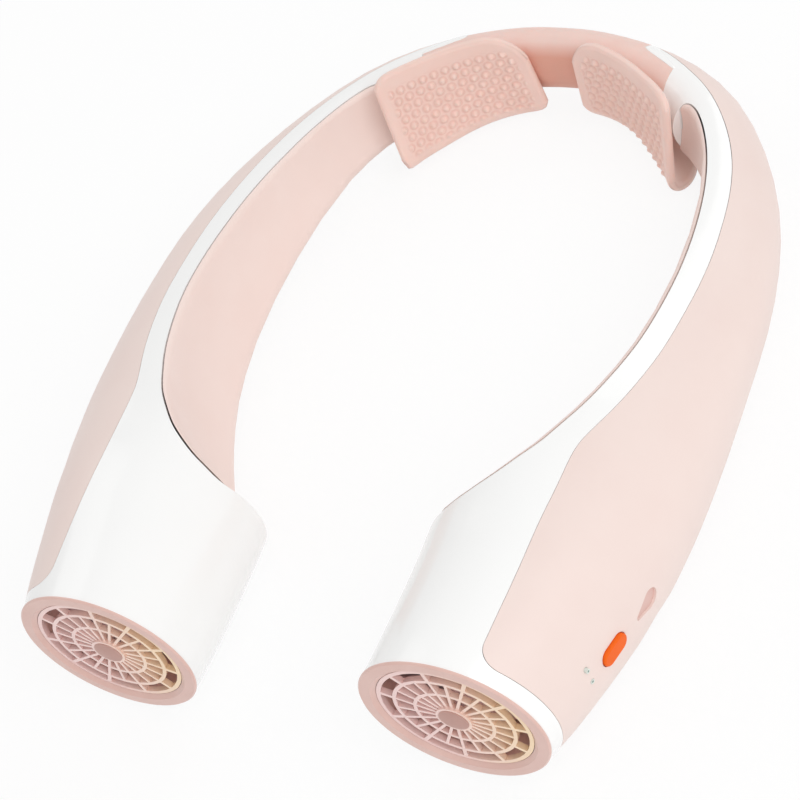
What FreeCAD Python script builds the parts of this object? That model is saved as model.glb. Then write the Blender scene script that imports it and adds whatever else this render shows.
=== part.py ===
import FreeCAD, Part
import math
import os
from collections import namedtuple

# Electric neck fan. A soft sprung band behind the neck joins two hollow arms. Each arm is a slice
# of white shell between a pink outer cover and a pink inner liner, and ends in a round intake with
# a bezel, a grille and a small fan. Air leaves through the slit between the shell and the liner.
# While modelling, X is to the right seen from the front, Y to the back of the neck and Z up, with
# the origin midway between the two intake centres. The finished part is set down on a table.

V = FreeCAD.Vector
AXIS_X = V(1, 0, 0)
AXIS_Y = V(0, 1, 0)
AXIS_Z = V(0, 0, 1)
FULL_TURN = 360.0
tilt_rounds = 6
RIGHT_ANGLE = 90.0

# Whole form
intake_spacing = 103.6
arm_reach = 227.0
arm_half_span = 76.4
shell_radius = 25.4
wall = 2.0
overrun = 1.0
fit_gap = 0.15
joint_gap = 0.3

# Shell edges
cover_front = 3.7
cover_corner = 5.0
outlet_slit = 0.5

# Intake bezel and grille
bezel_radius = 25.7
bezel_lip = 0.7
bezel_round = 0.4
bezel_mouth_radius = 22.4
bezel_throat_radius = 21.2
bezel_depth = 7.5
grille_recess = 1.0
grille_thickness = 1.6
grille_hub_radius = 4.9
grille_hub_rise = 0.6
grille_rib = 0.8
grille_outer_rib = 1.1
grille_inner_ring = 10.6
grille_main_ring = 16.2
grille_ring_width = 1.0
grille_inner_ribs = 22
grille_outer_ribs = 11
grille_ledge = 1.2

# Fan
frame_length = 9.0
frame_wall = 1.6
frame_struts = 4
strut_width = 2.4
strut_thickness = 1.4
motor_base_radius = 7.6
blade_count = 9
blade_tip_gap = 0.6
blade_thickness = 0.9
blade_root_chord = 6.0
blade_tip_chord = 9.0
blade_root_pitch = 52.0
blade_tip_pitch = 28.0
fan_hub_radius = 8.6
fan_hub_wall = 1.0
fan_front_gap = 1.0
fan_rear_gap = 0.5
magnet_thickness = 0.9
air_gap = 0.4
shaft_radius = 1.0
shaft_gap = 0.03
bush_radius = 2.4
stator_teeth = 6
stator_tooth_width = 2.0

# Battery
cell_radius = 9.1
cell_length = 65.0
cell_button_radius = 3.0
cell_button_height = 1.0
cell_offset = 3.8
cradle_plate = 4.0

# Power button and control board
button_length = 9.7
button_width = 5.1
button_rise = 0.7
button_edge = 0.5
button_gap = 0.25
button_flange = 0.9
button_flange_lip = 0.9
button_travel = 0.6
switch_side = 5.0
switch_height = 1.4
board_thickness = 1.2
board_front = 12.5
board_back = 15.0
board_half_height = 8.0
control_rise = 1.7
post_radius = 2.0
screw_radius = 0.8
screw_head_radius = 1.5
screw_head_height = 1.0
led_radius = 0.7
led_back = 10.1
led_upper = 4.5
led_lower = 0.25
thumb_depth = 0.7
thumb_radius = 3.0
thumb_tail_radius = 1.0
thumb_near = 11.5
thumb_far = 17.3
thumb_drop = 1.4

# Charging socket
usb_width = 8.9
usb_height = 3.2
usb_length = 7.3
usb_wall = 0.35
usb_tongue = 0.7
charge_board_half_width = 9.0
charge_board_length = 12.0
charge_board_thickness = 1.0
gusset = 1.2
gusset_height = 3.0

# Band and pads
strip_thickness = 0.6
strip_height = 12.0
lead_thickness = 1.0
lead_height = 2.4
pad_thickness = 2.6
pad_top = 17.5
pad_bottom = 19.0
pad_curl = 8.0
pad_lip = 4.0
pad_stand_off = 2.0
pad_end_round = 8.0

# Stations of the right arm from the intake to its widest place. Shares of the arm's reach, of the
# way out from the intake to the widest place, and of the shell's radius: outer, inner, top, bottom,
# how far the ridge on top leans inwards, and the height of the widest line.
front_shares = [
    (-0.003, 0.000, 1.000, 1.000, 1.000, 1.000, 0.00, 0.000),
    (0.040, 0.083, 1.055, 1.080, 1.005, 1.055, 0.02, -0.050),
    (0.106, 0.264, 1.041, 1.256, 1.010, 1.100, 0.09, -0.079),
    (0.167, 0.476, 0.963, 1.461, 1.015, 1.125, 0.22, -0.075),
    (0.207, 0.589, 0.917, 1.571, 1.020, 1.120, 0.36, -0.050),
    (0.238, 0.679, 0.893, 1.610, 1.020, 1.105, 0.50, -0.038),
    (0.273, 0.772, 0.843, 1.560, 1.022, 1.075, 0.62, -0.013),
    (0.317, 0.862, 0.794, 1.410, 1.012, 1.030, 0.66, 0.018),
    (0.374, 0.939, 0.743, 1.230, 0.962, 0.965, 0.60, 0.045),
    (0.441, 0.976, 0.718, 1.060, 0.890, 0.895, 0.50, 0.084),
    (0.511, 0.996, 0.694, 0.930, 0.812, 0.825, 0.48, 0.115),
]

# Stations from the widest place round to the middle of the band. Shares of the reach and of the
# half span, of the shell's radius as above, and of a right angle for the turn.
back_shares = [
    (0.590, 0.997, 0.671, 0.820, 0.705, 0.757, 0.40, 0.109, 0.044),
    (0.670, 0.974, 0.628, 0.720, 0.612, 0.705, 0.36, 0.075, 0.100),
    (0.749, 0.925, 0.555, 0.610, 0.515, 0.665, 0.24, 0.020, 0.200),
    (0.828, 0.836, 0.472, 0.500, 0.442, 0.605, 0.12, -0.015, 0.322),
    (0.899, 0.704, 0.413, 0.413, 0.395, 0.520, 0.04, -0.035, 0.478),
    (0.947, 0.543, 0.370, 0.370, 0.372, 0.475, 0.00, -0.044, 0.633),
    (0.978, 0.366, 0.315, 0.315, 0.382, 0.461, 0.00, -0.040, 0.778),
    (0.996, 0.170, 0.276, 0.276, 0.398, 0.461, 0.00, -0.032, 0.911),
    (1.000, 0.000, 0.260, 0.260, 0.406, 0.461, 0.00, -0.028, 1.000),
]
roundness_share = 0.5523
hollow_sides = 3

# Edges drawn on the plan: a station, and a share of the shell's radius, inwards where negative.
cover_edge_shares = [
    (0.00, 0.420), (1.68, 0.291), (2.58, 0.138), (3.81, -0.018), (5.50, -0.143), (6.29, -0.202),
    (6.80, -0.219), (7.26, -0.189), (7.58, -0.154), (8.02, -0.103), (8.62, -0.034), (9.25, 0.022),
    (10.04, 0.055), (10.87, 0.076), (11.47, 0.088), (12.01, 0.095), (12.58, 0.106), (13.64, 0.128),
    (14.34, 0.126), (14.87, 0.122), (15.40, 0.128), (15.91, 0.140), (16.42, 0.168), (16.85, 0.235),
    (17.00, 0.330), (17.08, 0.430),
]

# The inner liner: a station, the edge on the plan, and the depth of its belly, both as shares of
# the shell's radius. The first two rows and the last two only carry the edge on past the liner,
# and the tail carries the form on past its rounded end.
liner_shares = [
    (4.09, -1.700, 1.700), (4.11, -1.448, 1.563), (4.13, -1.298, 1.420), (4.28, -1.205, 1.390),
    (4.55, -1.075, 1.280), (4.80, -0.990, 1.180), (5.03, -0.920, 1.120), (5.53, -0.792, 0.980),
    (6.09, -0.685, 0.885), (6.62, -0.585, 0.830), (7.18, -0.506, 0.758), (7.69, -0.430, 0.686),
    (8.23, -0.355, 0.607), (8.79, -0.280, 0.522), (9.42, -0.221, 0.465), (10.19, -0.188, 0.425),
    (11.06, -0.176, 0.418), (11.95, -0.167, 0.400), (12.88, -0.155, 0.355), (13.81, -0.126, 0.290),
    (14.28, -0.109, 0.290), (14.66, -0.103, 0.315), (14.94, -0.122, 0.350), (15.11, -0.173, 0.380),
    (15.17, -0.300, 0.395), (15.17, -0.600, 0.700),
]
liner_tail_shares = [(15.30, -0.300, 0.395)]
liner_edge_only = 2
plug_rows = 5
plug_end_station = 5.6
belly_share = 0.60
belly_rise_share = 0.30
bead_share = 0.34
wall_lead_share = 0.35
flare_share = 0.55
eighth_share = 0.2652
junction_shares = [(17.50, 0.42), (16.05, 0.045), (15.50, -0.60)]
cavity_end = 15
band_start = 15
arm_end = 17
control_station = 2.19
control_reach = (0, 5)
cell_front_station = 7.2
cradle_stations = (8.2, 10.6)
band_core_stations = (16.3, 17.0, 18.0, 19.0)

# Sections along a neck pad: a station, shares of the rounding of the pad's ends and of how far it
# stands off, how far it leans back for its height, and a share of the lip below.
pad_shares = [
    (14.66, 0.75, 0.70, 0.190, 1.00), (14.84, 0.25, 0.80, 0.180, 1.00),
    (15.20, 0.00, 1.00, 0.165, 1.00), (15.70, 0.00, 1.00, 0.135, 0.90),
    (16.40, 0.00, 0.75, 0.075, 0.80), (17.20, 0.00, 0.30, 0.020, 0.50),
    (17.80, 0.15, 0.05, 0.000, 0.25), (18.20, 0.55, 0.00, 0.000, 0.15),
    (18.40, 1.00, 0.00, 0.000, 0.10),
]

Station = namedtuple("Station", "centre out outer inner top bottom lean level")


def station_list():
    """Sections of the right arm and half band: centre, outward direction and half sizes."""
    rows = []
    intake_half = intake_spacing / 2
    for reach, way, *sizes in front_shares:
        across = intake_half + way * (arm_half_span - intake_half)
        rows.append((reach, across, sizes, 0))
    for reach, span, *sizes, turn in back_shares:
        rows.append((reach, span * arm_half_span, sizes, turn))
    stations = []
    for reach, across, sizes, turn in rows:
        angle = math.radians(turn * RIGHT_ANGLE)
        centre = V(across, reach * arm_reach, 0)
        out = V(math.cos(angle), math.sin(angle), 0)
        stations.append(Station(centre, out, *[share * shell_radius for share in sizes]))
    return stations


STATIONS = station_list()


def station_at(place):
    """A station between two listed ones, on a smooth curve through them and their neighbours."""
    last = len(STATIONS) - 1
    index = min(int(place), last - 1)
    mix = place - index
    around = [STATIONS[min(max(index + step, 0), last)] for step in (-1, 0, 1, 2)]
    square, cube = mix * mix, mix * mix * mix
    shares = (
        (-cube + 2 * square - mix) / 2,
        (3 * cube - 5 * square + 2) / 2,
        (-3 * cube + 4 * square + mix) / 2,
        (cube - square) / 2,
    )
    mixed = []
    for first, second, third, fourth in zip(*around):
        mixed.append(first * shares[0] + second * shares[1] + third * shares[2] + fourth * shares[3])
    mixed[1].normalize()
    return Station(*mixed)


def plan_point(place, share):
    """A point on the plan, out from a station's centre by a share of the shell's radius."""
    station = station_at(place)
    return station.centre + station.out * (share * shell_radius)


def skin_point(place):
    """The outermost point of the arm at a station, on the plan."""
    station = station_at(place)
    return station.centre + station.out * station.outer


def skin_height(station, across, upper):
    """Height of the arm's skin over or under a place across its section."""
    ridge = -station.lean if upper else 0
    width = station.outer - ridge if across > ridge else station.inner + ridge
    share = (across - ridge) / width
    lift = math.sqrt(max(1 - share * share, 0))
    if upper:
        return station.level + (station.top - station.level) * lift
    return station.level - (station.bottom + station.level) * lift


def bezier(poles):
    """One smooth edge led by its poles."""
    curve = Part.BezierCurve()
    curve.setPoles(poles)
    return curve.toShape()


def section_wire(station, inset=0, mirrored=False):
    """The arm's closed cross-section at a station: four quarter curves, drawn in by the inset."""
    top = AXIS_Z * (station.top - inset)
    bottom = AXIS_Z * (inset - station.bottom)
    level = AXIS_Z * station.level
    outer = station.out * (station.outer - inset)
    inner = station.out * (inset - station.inner)
    ends = [outer + level, top - station.out * station.lean, inner + level, bottom]
    corners = [outer + top, inner + top, inner + bottom, outer + bottom]
    edges = []
    for index, corner in enumerate(corners):
        start, end = ends[index], ends[(index + 1) % len(ends)]
        lead, follow = (corner - start) * roundness_share, (corner - end) * roundness_share
        edges.append(bezier([station.centre + pole for pole in (start, start + lead, end + follow, end)]))
    wire = Part.Wire(edges)
    return mirror(wire) if mirrored else wire


def mirror(shape):
    """The same shape on the left side."""
    return shape.mirror(V(), AXIS_X)


def half_places(first, last):
    """Places from one station to another, in half steps."""
    return [first + step / 2 for step in range(2 * (last - first) + 1)]


def arm_form(inset=0, first=0, last=arm_end):
    """The arm's outer form between two stations, drawn in by the inset."""
    wires = [section_wire(station_at(place), inset) for place in half_places(first, last)]
    return Part.makeLoft(wires, True, True)


def corners_along(edges):
    """Points spread along the curved edges of a section, the same number on each."""
    points = []
    for edge in edges:
        curve = edge.Curve
        points += [curve.value(side / hollow_sides) for side in range(hollow_sides)]
    return points


def hollow_form(inset, lead=0):
    """The room inside the arm, with flat sides, drawn in by the inset, with a lead at the front."""
    rings = [corners_along(section_wire(station, inset).Edges) for station in STATIONS[:cavity_end + 1]]
    rings[0] = [point - AXIS_Y * lead for point in rings[0]]
    return plated(rings)


def plated(rings):
    """A closed solid with flat triangles between rings of corners, and flat ends."""
    outlines = [rings[0], rings[-1]]
    for near, far in zip(rings, rings[1:]):
        for index, corner in enumerate(near):
            after = (index + 1) % len(near)
            outlines += [[corner, near[after], far[after]], [corner, far[after], far[index]]]
    faces = [Part.Face(Part.Wire(polygon(outline))) for outline in outlines]
    solid = Part.Solid(Part.Shell(faces))
    return solid if solid.Volume > 0 else solid.reversed()


def prism(edges, upper_only=False):
    """A tall upright solid on a closed plan outline, or only its upper half."""
    height = 2 * shell_radius
    face = Part.Face(Part.Wire(edges))
    if upper_only:
        return face.extrude(AXIS_Z * height)
    face.translate(AXIS_Z * -height)
    return face.extrude(AXIS_Z * (2 * height))


def polygon(points):
    """Straight edges round a closed list of points."""
    return [Part.LineSegment(a, b).toShape() for a, b in zip(points, points[1:] + points[:1])]


def spline(points):
    """One smooth edge through the points."""
    curve = Part.BSplineCurve()
    curve.interpolate(points)
    return curve.toShape()


def moved_aside(points, distance):
    """Plan points moved square to their line, to its left where the distance is positive."""
    moved = []
    last = len(points) - 1
    for index, point in enumerate(points):
        along = points[min(index + 1, last)] - points[max(index - 1, 0)]
        side = V(-along.y, along.x, 0).normalize()
        moved.append(point + side * distance)
    return moved


def cover_zone(gap=0):
    """Everything outside the edge of the outer cover, drawn back by the gap."""
    first = cover_front / STATIONS[1].centre.y
    places = [(first, cover_edge_shares[0][1])] + cover_edge_shares[1:]
    points = moved_aside([plan_point(*place) for place in places], -gap)
    points[0].y = cover_front + gap
    far = arm_half_span + 2 * shell_radius
    corners = [V(far, points[-1].y + shell_radius, 0), V(far, points[0].y, 0)]
    tail = V(points[-1].x, points[-1].y + shell_radius, 0)
    line = [points[-1], tail] + corners + [points[0]]
    edges = [Part.LineSegment(a, b).toShape() for a, b in zip(line, line[1:])]
    zone = prism([spline(points)] + edges)
    corner = [edge for edge in zone.Edges if is_upright_at(edge, points[0])]
    return zone.makeFillet(cover_corner - gap, corner)


def is_upright_at(edge, point):
    """Whether an edge stands straight up over a plan point."""
    ends = [vertex.Point for vertex in edge.Vertexes]
    return all(math.hypot(end.x - point.x, end.y - point.y) < fit_gap for end in ends)


def liner_zone(gap=0, upper_only=False):
    """Everything inside the edge of the inner liner, drawn back by the gap."""
    points = moved_aside([plan_point(place, edge) for place, edge, _ in liner_shares], gap)
    near = points[0].x / 2
    line = [points[-1], V(near, points[-1].y, 0), V(near, points[0].y, 0), points[0]]
    edges = [Part.LineSegment(a, b).toShape() for a, b in zip(line, line[1:])]
    return prism([spline(points)] + edges, upper_only)


def liner_section(row, inset, spread):
    """The liner's section: a round bead under the shell's edge, a wall that flares to the belly, then
    round below. In front, bead and wall run into one quarter round."""
    place, edge, depth = row
    station = station_at(place)
    across = edge * shell_radius
    top = skin_height(station, across, True) - inset
    bottom = skin_height(station, across, False) + inset
    height = -belly_share * min(station.bottom, -bottom)
    deep = inset - depth * shell_radius
    side = across + spread
    bulge, rise = across - deep, top - height
    bead = bead_share * bulge
    fall = rise - bead
    front_place = liner_shares[liner_edge_only][0]
    full = max((plug_end_station - place) / (plug_end_station - front_place), 0)
    half = math.sqrt(1 / 2)
    half_bulge, half_rise = half * eighth_share * bulge, half * eighth_share * rise

    def at(out, up):
        return station.centre + station.out * out + AXIS_Z * up

    def mix(plain, rounded):
        return plain + full * (rounded - plain)

    brow_out = across - mix(bead, half * bulge)
    brow_up = top - mix(bead, rise - half * rise)
    upper, rim, brow = at(side, top), at(across, top), at(brow_out, brow_up)
    belly, lower = at(deep, height), at(side, bottom)
    rim_lead = at(across - mix(roundness_share * bead, eighth_share * bulge), top)
    brow_follow = at(brow_out + mix(0, half_bulge), brow_up + mix(roundness_share * bead, half_rise))
    brow_lead = at(brow_out - mix(0, half_bulge), brow_up - mix(wall_lead_share * fall, half_rise))
    flare = mix(flare_share * (bulge - bead), 0)
    belly_follow = at(deep + flare, height + mix(belly_rise_share * fall, eighth_share * rise))
    belly_lead = at(deep, height + roundness_share * (bottom - height))
    return Part.Wire([
        Part.LineSegment(upper, rim).toShape(),
        bezier([rim, rim_lead, brow_follow, brow]),
        bezier([brow, brow_lead, belly_follow, belly]),
        bezier([belly, belly_lead, at(side - roundness_share * (side - deep), bottom), lower]),
        Part.LineSegment(lower, upper).toShape(),
    ])


def inner_liner():
    """The pink inside wall of the arm: a thin panel, solid in front, with the air slit above it."""
    rows = liner_shares[liner_edge_only:-liner_edge_only]
    sections = [liner_section(row, 0, overrun) for row in rows + liner_tail_shares]
    form = Part.makeLoft(sections, True, True).common(liner_zone(fit_gap))
    inner_rings = []
    for row in rows[plug_rows:]:
        edges = liner_section(row, wall, 2 * wall).Edges
        ends = [edges[0].firstVertex().Point, edges[-1].firstVertex().Point]
        inner_rings.append(ends[:1] + corners_along(edges[1:-1]) + ends[1:])
    hollow = plated(inner_rings)
    slit = liner_zone(fit_gap, True).cut(liner_zone(outlet_slit))
    return form.cut(hollow).cut(slit)


def junction_zone(arm_side, gap=0):
    """Everything past the stepped joint of arm and band, on the arm's side or the band's."""
    points = moved_aside([plan_point(*place) for place in junction_shares], gap)
    outer, inner = points[0], points[-1]
    behind = arm_reach + shell_radius
    if arm_side:
        far = arm_half_span + 2 * shell_radius
        low = inner.y - 2 * shell_radius
        closing = [V(inner.x, low, 0), V(far, low, 0), V(far, behind, 0), V(outer.x, behind, 0)]
    else:
        closing = [V(0, inner.y, 0), V(0, behind, 0), V(outer.x, behind, 0)]
    return prism(polygon(points + closing))


def turned(profile, front=0):
    """A solid of revolution about the right intake's axis, from radius and depth pairs."""
    points = [V(radius, depth + front, 0) for radius, depth in profile]
    solid = Part.Face(Part.Wire(polygon(points))).revolve(V(), AXIS_Y, FULL_TURN)
    solid.translate(AXIS_X * (intake_spacing / 2))
    return solid


def fan_axis_copies(shape, count):
    """The shape repeated round the right intake's axis."""
    centre = AXIS_X * (intake_spacing / 2)
    return [shape.rotated(centre, AXIS_Y, FULL_TURN * step / count) for step in range(count)]


def intake_bore():
    """The round bore at the intake end that takes the bezel and the fan frame."""
    depth = bezel_depth + frame_length + overrun
    radius = shell_radius - wall
    return Part.makeCylinder(radius, depth + 2 * overrun, V(intake_spacing / 2, -2 * overrun, 0), AXIS_Y)


def arm_walls():
    """The whole hollow wall of the right arm before it is split into its three pieces."""
    solid = arm_form().cut(junction_zone(False))
    hollow = hollow_form(wall, overrun)
    return solid.cut(hollow).cut(intake_bore())


def control_place():
    """Where the button sits: along the arm, up, and out of the outer cover."""
    station = station_at(control_station)
    before, after = skin_point(control_station - 1), skin_point(control_station + 1)
    along = (after - before).normalize()
    out = V(along.y, -along.x, 0)
    base = skin_point(control_station) + AXIS_Z * (station.level + control_rise)
    return FreeCAD.Placement(FreeCAD.Matrix(
        along.x, 0, out.x, base.x,
        along.y, 0, out.y, base.y,
        0, 1, 0, base.z,
        0, 0, 0, 1,
    ))


def at_control(shape):
    """A shape drawn in the button's own axes, put in its place on the right arm."""
    placed = shape.copy()
    placed.Placement = control_place().multiply(placed.Placement)
    return placed


def pill(length, width, low, high):
    """An upright solid with a pill outline in the button's axes."""
    radius = width / 2
    straight = length / 2 - radius
    left, right = V(-straight, 0, low), V(straight, 0, low)
    up = V(0, radius, 0)
    edges = [
        Part.LineSegment(left - up, right - up).toShape(),
        Part.Arc(right - up, right + V(radius, 0, 0), right + up).toShape(),
        Part.LineSegment(right + up, left + up).toShape(),
        Part.Arc(left + up, left - V(radius, 0, 0), left - up).toShape(),
    ]
    return Part.Face(Part.Wire(edges)).extrude(AXIS_Z * (high - low))


def button_levels():
    """Depths below the cover's skin: flange top, flange underside, switch top, board face."""
    half = button_width / 2 + button_flange_lip
    sag = half * half / shell_radius
    flange_top = -(wall + sag + joint_gap)
    flange_under = flange_top - button_flange
    switch_top = flange_under - button_travel - fit_gap
    return flange_top, flange_under, switch_top, switch_top - switch_height


def power_button():
    """The pill button: a rounded cap that rises out of the cover, and its flange behind the wall."""
    flange_top, flange_under = button_levels()[:2]
    cap = pill(button_length, button_width, flange_top, button_rise)
    rim = [edge for edge in cap.Edges if min(v.Z for v in edge.Vertexes) > 0]
    cap = cap.makeFillet(button_edge, rim)
    lip = 2 * button_flange_lip
    flange = pill(button_length + lip, button_width + lip, flange_under, flange_top)
    return at_control(cap.fuse(flange).removeSplitter())


def board_points():
    """Where the control board is screwed to its posts."""
    inset = 2 * post_radius
    high = board_half_height - post_radius
    return [V(-board_front + inset, -high, 0), V(board_back - inset, high, 0)]


def led_points():
    """Where the two small lights shine through the cover."""
    return [V(-led_back, led_upper, 0), V(-led_back, -led_lower, 0)]


def control_board():
    """The circuit board behind the button, with holes for its screws."""
    face = button_levels()[3]
    size = (board_front + board_back, 2 * board_half_height, board_thickness)
    board = Part.makeBox(*size, V(-board_front, -board_half_height, face - board_thickness))
    for point in board_points():
        hole = V(point.x, point.y, face - board_thickness - overrun)
        board = board.cut(Part.makeCylinder(screw_radius + fit_gap, board_thickness + 2 * overrun, hole))
    return at_control(board)


def board_screws():
    """The screws that hold the control board to the cover's posts."""
    face = button_levels()[3]
    back = face - board_thickness
    screws = []
    for point in board_points():
        head = Part.makeCylinder(screw_head_radius, screw_head_height, V(point.x, point.y, back), -AXIS_Z)
        length = board_thickness + 2 * screw_head_height
        stem = Part.makeCylinder(screw_radius, length, V(point.x, point.y, back))
        screws.append(at_control(head.fuse(stem)))
    return Part.Compound(screws)


def button_switch():
    """The push switch on the board under the button."""
    top, face = button_levels()[2:]
    body_height = switch_height / 2
    corner = V(-switch_side / 2, -switch_side / 2, face)
    body = Part.makeBox(switch_side, switch_side, body_height, corner)
    plunger = Part.makeCylinder(switch_side / 4, top - face, V(0, 0, face))
    return at_control(body.fuse(plunger))


def led_light_pipes():
    """Clear pins that carry light from the board to the skin of the cover."""
    face = button_levels()[3]
    pins = [Part.makeCylinder(led_radius, -face, point + V(0, 0, face)) for point in led_points()]
    return Part.Compound([at_control(pin) for pin in pins])


def thumb_recess(skin):
    """A shallow drop-shaped hollow behind the button, of even depth under the skin."""
    near, far = V(thumb_near, -thumb_drop, 0), V(thumb_far, -thumb_drop, 0)
    slope = (thumb_radius - thumb_tail_radius) / (thumb_far - thumb_near)
    lift = math.sqrt(1 - slope * slope)
    high = V(-slope, lift, 0)
    low = V(-slope, -lift, 0)
    edges = [
        Part.LineSegment(near + high * thumb_tail_radius, far + high * thumb_radius).toShape(),
        Part.Arc(
            far + high * thumb_radius,
            far + AXIS_X * thumb_radius,
            far + low * thumb_radius,
        ).toShape(),
        Part.LineSegment(far + low * thumb_radius, near + low * thumb_tail_radius).toShape(),
        Part.Arc(
            near + low * thumb_tail_radius,
            near - AXIS_X * thumb_tail_radius,
            near + high * thumb_tail_radius,
        ).toShape(),
    ]
    face = Part.Face(Part.Wire(edges))
    face.translate(AXIS_Z * -wall)
    return at_control(face.extrude(AXIS_Z * (3 * wall))).cut(skin)


def button_fittings(cover):
    """The right cover with the button's hole, the lights' holes, the recess and the board's posts."""
    flange_top, face = button_levels()[0], button_levels()[3]
    hole = pill(button_length + 2 * button_gap, button_width + 2 * button_gap, -3 * wall, 3 * wall)
    room = 2 * (button_flange_lip + joint_gap)
    pocket = pill(button_length + room, button_width + room, face, flange_top + joint_gap)
    cover = cover.cut(at_control(hole)).cut(at_control(pocket))
    cover = cover.cut(thumb_recess(arm_form(thumb_depth, *control_reach)))
    for point in led_points():
        bore = Part.makeCylinder(led_radius + fit_gap / 2, 4 * wall, point - AXIS_Z * (2 * wall))
        cover = cover.cut(at_control(bore))
    for point in board_points():
        post = Part.makeCylinder(post_radius, -face - wall / 2, point + AXIS_Z * face)
        cover = cover.fuse(at_control(post).common(arm_form(wall / 2, *control_reach)))
        bore = Part.makeCylinder(screw_radius, 2 * screw_head_height, point + AXIS_Z * face)
        cover = cover.cut(at_control(bore))
    return cover


def usb_parts():
    """The charging socket and its small board, drawn on the right and mirrored to the left."""
    front = -fit_gap
    outer = pill(usb_width, usb_height, front - usb_length, front)
    back = front - usb_length
    hollow = pill(usb_width - 2 * usb_wall, usb_height - 2 * usb_wall, back + usb_wall, front)
    tongue_width = usb_width - usb_height
    tongue = Part.makeBox(
        tongue_width, usb_tongue, usb_length - 2 * usb_wall,
        V(-tongue_width / 2, -usb_tongue / 2, back),
    )
    socket = outer.cut(hollow).fuse(tongue)
    under = -usb_height / 2 - charge_board_thickness
    board = Part.makeBox(
        2 * charge_board_half_width, charge_board_thickness, charge_board_length,
        V(-charge_board_half_width, under, -2 * wall - charge_board_length),
    )
    return at_control(socket), at_control(board)


def usb_fittings(cover):
    """The other cover, drawn on the right, with the socket's hole and the gussets under its board."""
    hole = pill(usb_width + 2 * fit_gap, usb_height + 2 * fit_gap, -3 * wall, 3 * wall)
    cover = cover.cut(at_control(hole))
    top = -usb_height / 2 - charge_board_thickness
    depth = charge_board_length + wall
    for side in (-1, 1):
        middle = side * charge_board_half_width / 2
        corner = V(middle - gusset / 2, top - gusset_height, -wall / 2 - depth)
        rib = Part.makeBox(gusset, gusset_height, depth, corner)
        cover = cover.fuse(at_control(rib).common(arm_form(wall / 2, *control_reach)))
    return cover


def intake_bezel():
    """The pink ring round the intake, with a dished mouth, a ledge and a spigot in the shell."""
    spigot = shell_radius - wall - fit_gap
    ledge = bezel_throat_radius - grille_ledge
    rim = STATIONS[0].centre.y
    seat = grille_front() + grille_thickness
    return turned([
        (bezel_mouth_radius, rim - bezel_lip),
        (bezel_radius - bezel_round, rim - bezel_lip),
        (bezel_radius, rim - bezel_lip + bezel_round),
        (bezel_radius, rim),
        (spigot, rim),
        (spigot, bezel_depth),
        (ledge, bezel_depth),
        (ledge, seat),
        (bezel_throat_radius, seat),
        (bezel_throat_radius, grille_front()),
    ])


def grille_front():
    """How deep the grille's face lies along the intake axis."""
    return STATIONS[0].centre.y - bezel_lip + grille_recess


def ring_gaps(inner, outer, count, rib, rounded):
    """Closed outlines of the gaps between straight ribs in a ring, with round or straight ends."""
    wires = []
    step = 2 * math.pi / count
    for index in range(count):
        corners = []
        for radius, side in ((inner, 0), (inner, 1), (outer, 1), (outer, 0)):
            half_rib = math.asin(rib / 2 / radius)
            angle = (index + side) * step + (half_rib if side == 0 else -half_rib)
            corners.append(V(radius * math.cos(angle), radius * math.sin(angle), 0))
        if not rounded:
            wires.append(Part.Wire(polygon(corners)))
            continue
        middle = (index + 1 / 2) * step
        toward = V(math.cos(middle), math.sin(middle), 0)
        wires.append(Part.Wire([
            Part.Arc(corners[0], toward * inner, corners[1]).toShape(),
            Part.LineSegment(corners[1], corners[2]).toShape(),
            Part.Arc(corners[2], toward * outer, corners[3]).toShape(),
            Part.LineSegment(corners[3], corners[0]).toShape(),
        ]))
    return wires


def facing_intake(shape, depth):
    """A flat shape drawn in the XY plane, stood upright across the right intake's axis."""
    stood = shape.rotated(V(), AXIS_X, -RIGHT_ANGLE)
    stood.translate(V(intake_spacing / 2, depth, 0))
    return stood


def intake_grille():
    """The web of ribs and rings: one holed plate that drops on the bezel's ledge."""
    rim = bezel_throat_radius - fit_gap
    half = grille_ring_width / 2
    outline = Part.Wire(Part.Circle(V(), AXIS_Z, rim).toShape())
    gaps = ring_gaps(grille_hub_radius, grille_inner_ring - half, grille_inner_ribs, grille_rib, False)
    spread, main = grille_inner_ring + half, grille_main_ring
    gaps += ring_gaps(spread, main - half, grille_inner_ribs, grille_rib, False)
    gaps += ring_gaps(main + half, rim - grille_ledge, grille_outer_ribs, grille_outer_rib, True)
    plate = Part.Face([outline] + gaps).extrude(AXIS_Z * grille_thickness)
    height = grille_hub_rise + grille_thickness
    hub = Part.makeCylinder(grille_hub_radius, height, AXIS_Z * -grille_hub_rise)
    return facing_intake(plate.fuse(hub).removeSplitter(), grille_front())


def fan_levels():
    """Depths along the intake axis: frame front, fan front, fan rear, frame rear."""
    front = bezel_depth
    rear = front + frame_length
    return front, front + fan_front_gap, rear - strut_thickness - fan_rear_gap, rear


def fan_frame():
    """The duct ring behind the bezel, with struts to the motor's base and a bore for the bush."""
    front, _, _, rear = fan_levels()
    ring_radius = shell_radius - wall - fit_gap
    duct = ring_radius - frame_wall
    strut_front = rear - strut_thickness
    ring = turned([(duct, front), (ring_radius, front), (ring_radius, rear), (duct, rear)])
    base = turned([
        (bush_radius, strut_front),
        (motor_base_radius, strut_front),
        (motor_base_radius, rear),
        (bush_radius, rear),
    ])
    start = V(intake_spacing / 2 + motor_base_radius - overrun, strut_front, -strut_width / 2)
    length = duct - motor_base_radius + 2 * overrun
    strut = Part.makeBox(length, strut_thickness, strut_width, start)
    return ring.multiFuse([base] + fan_axis_copies(strut, frame_struts)).removeSplitter()


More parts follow.
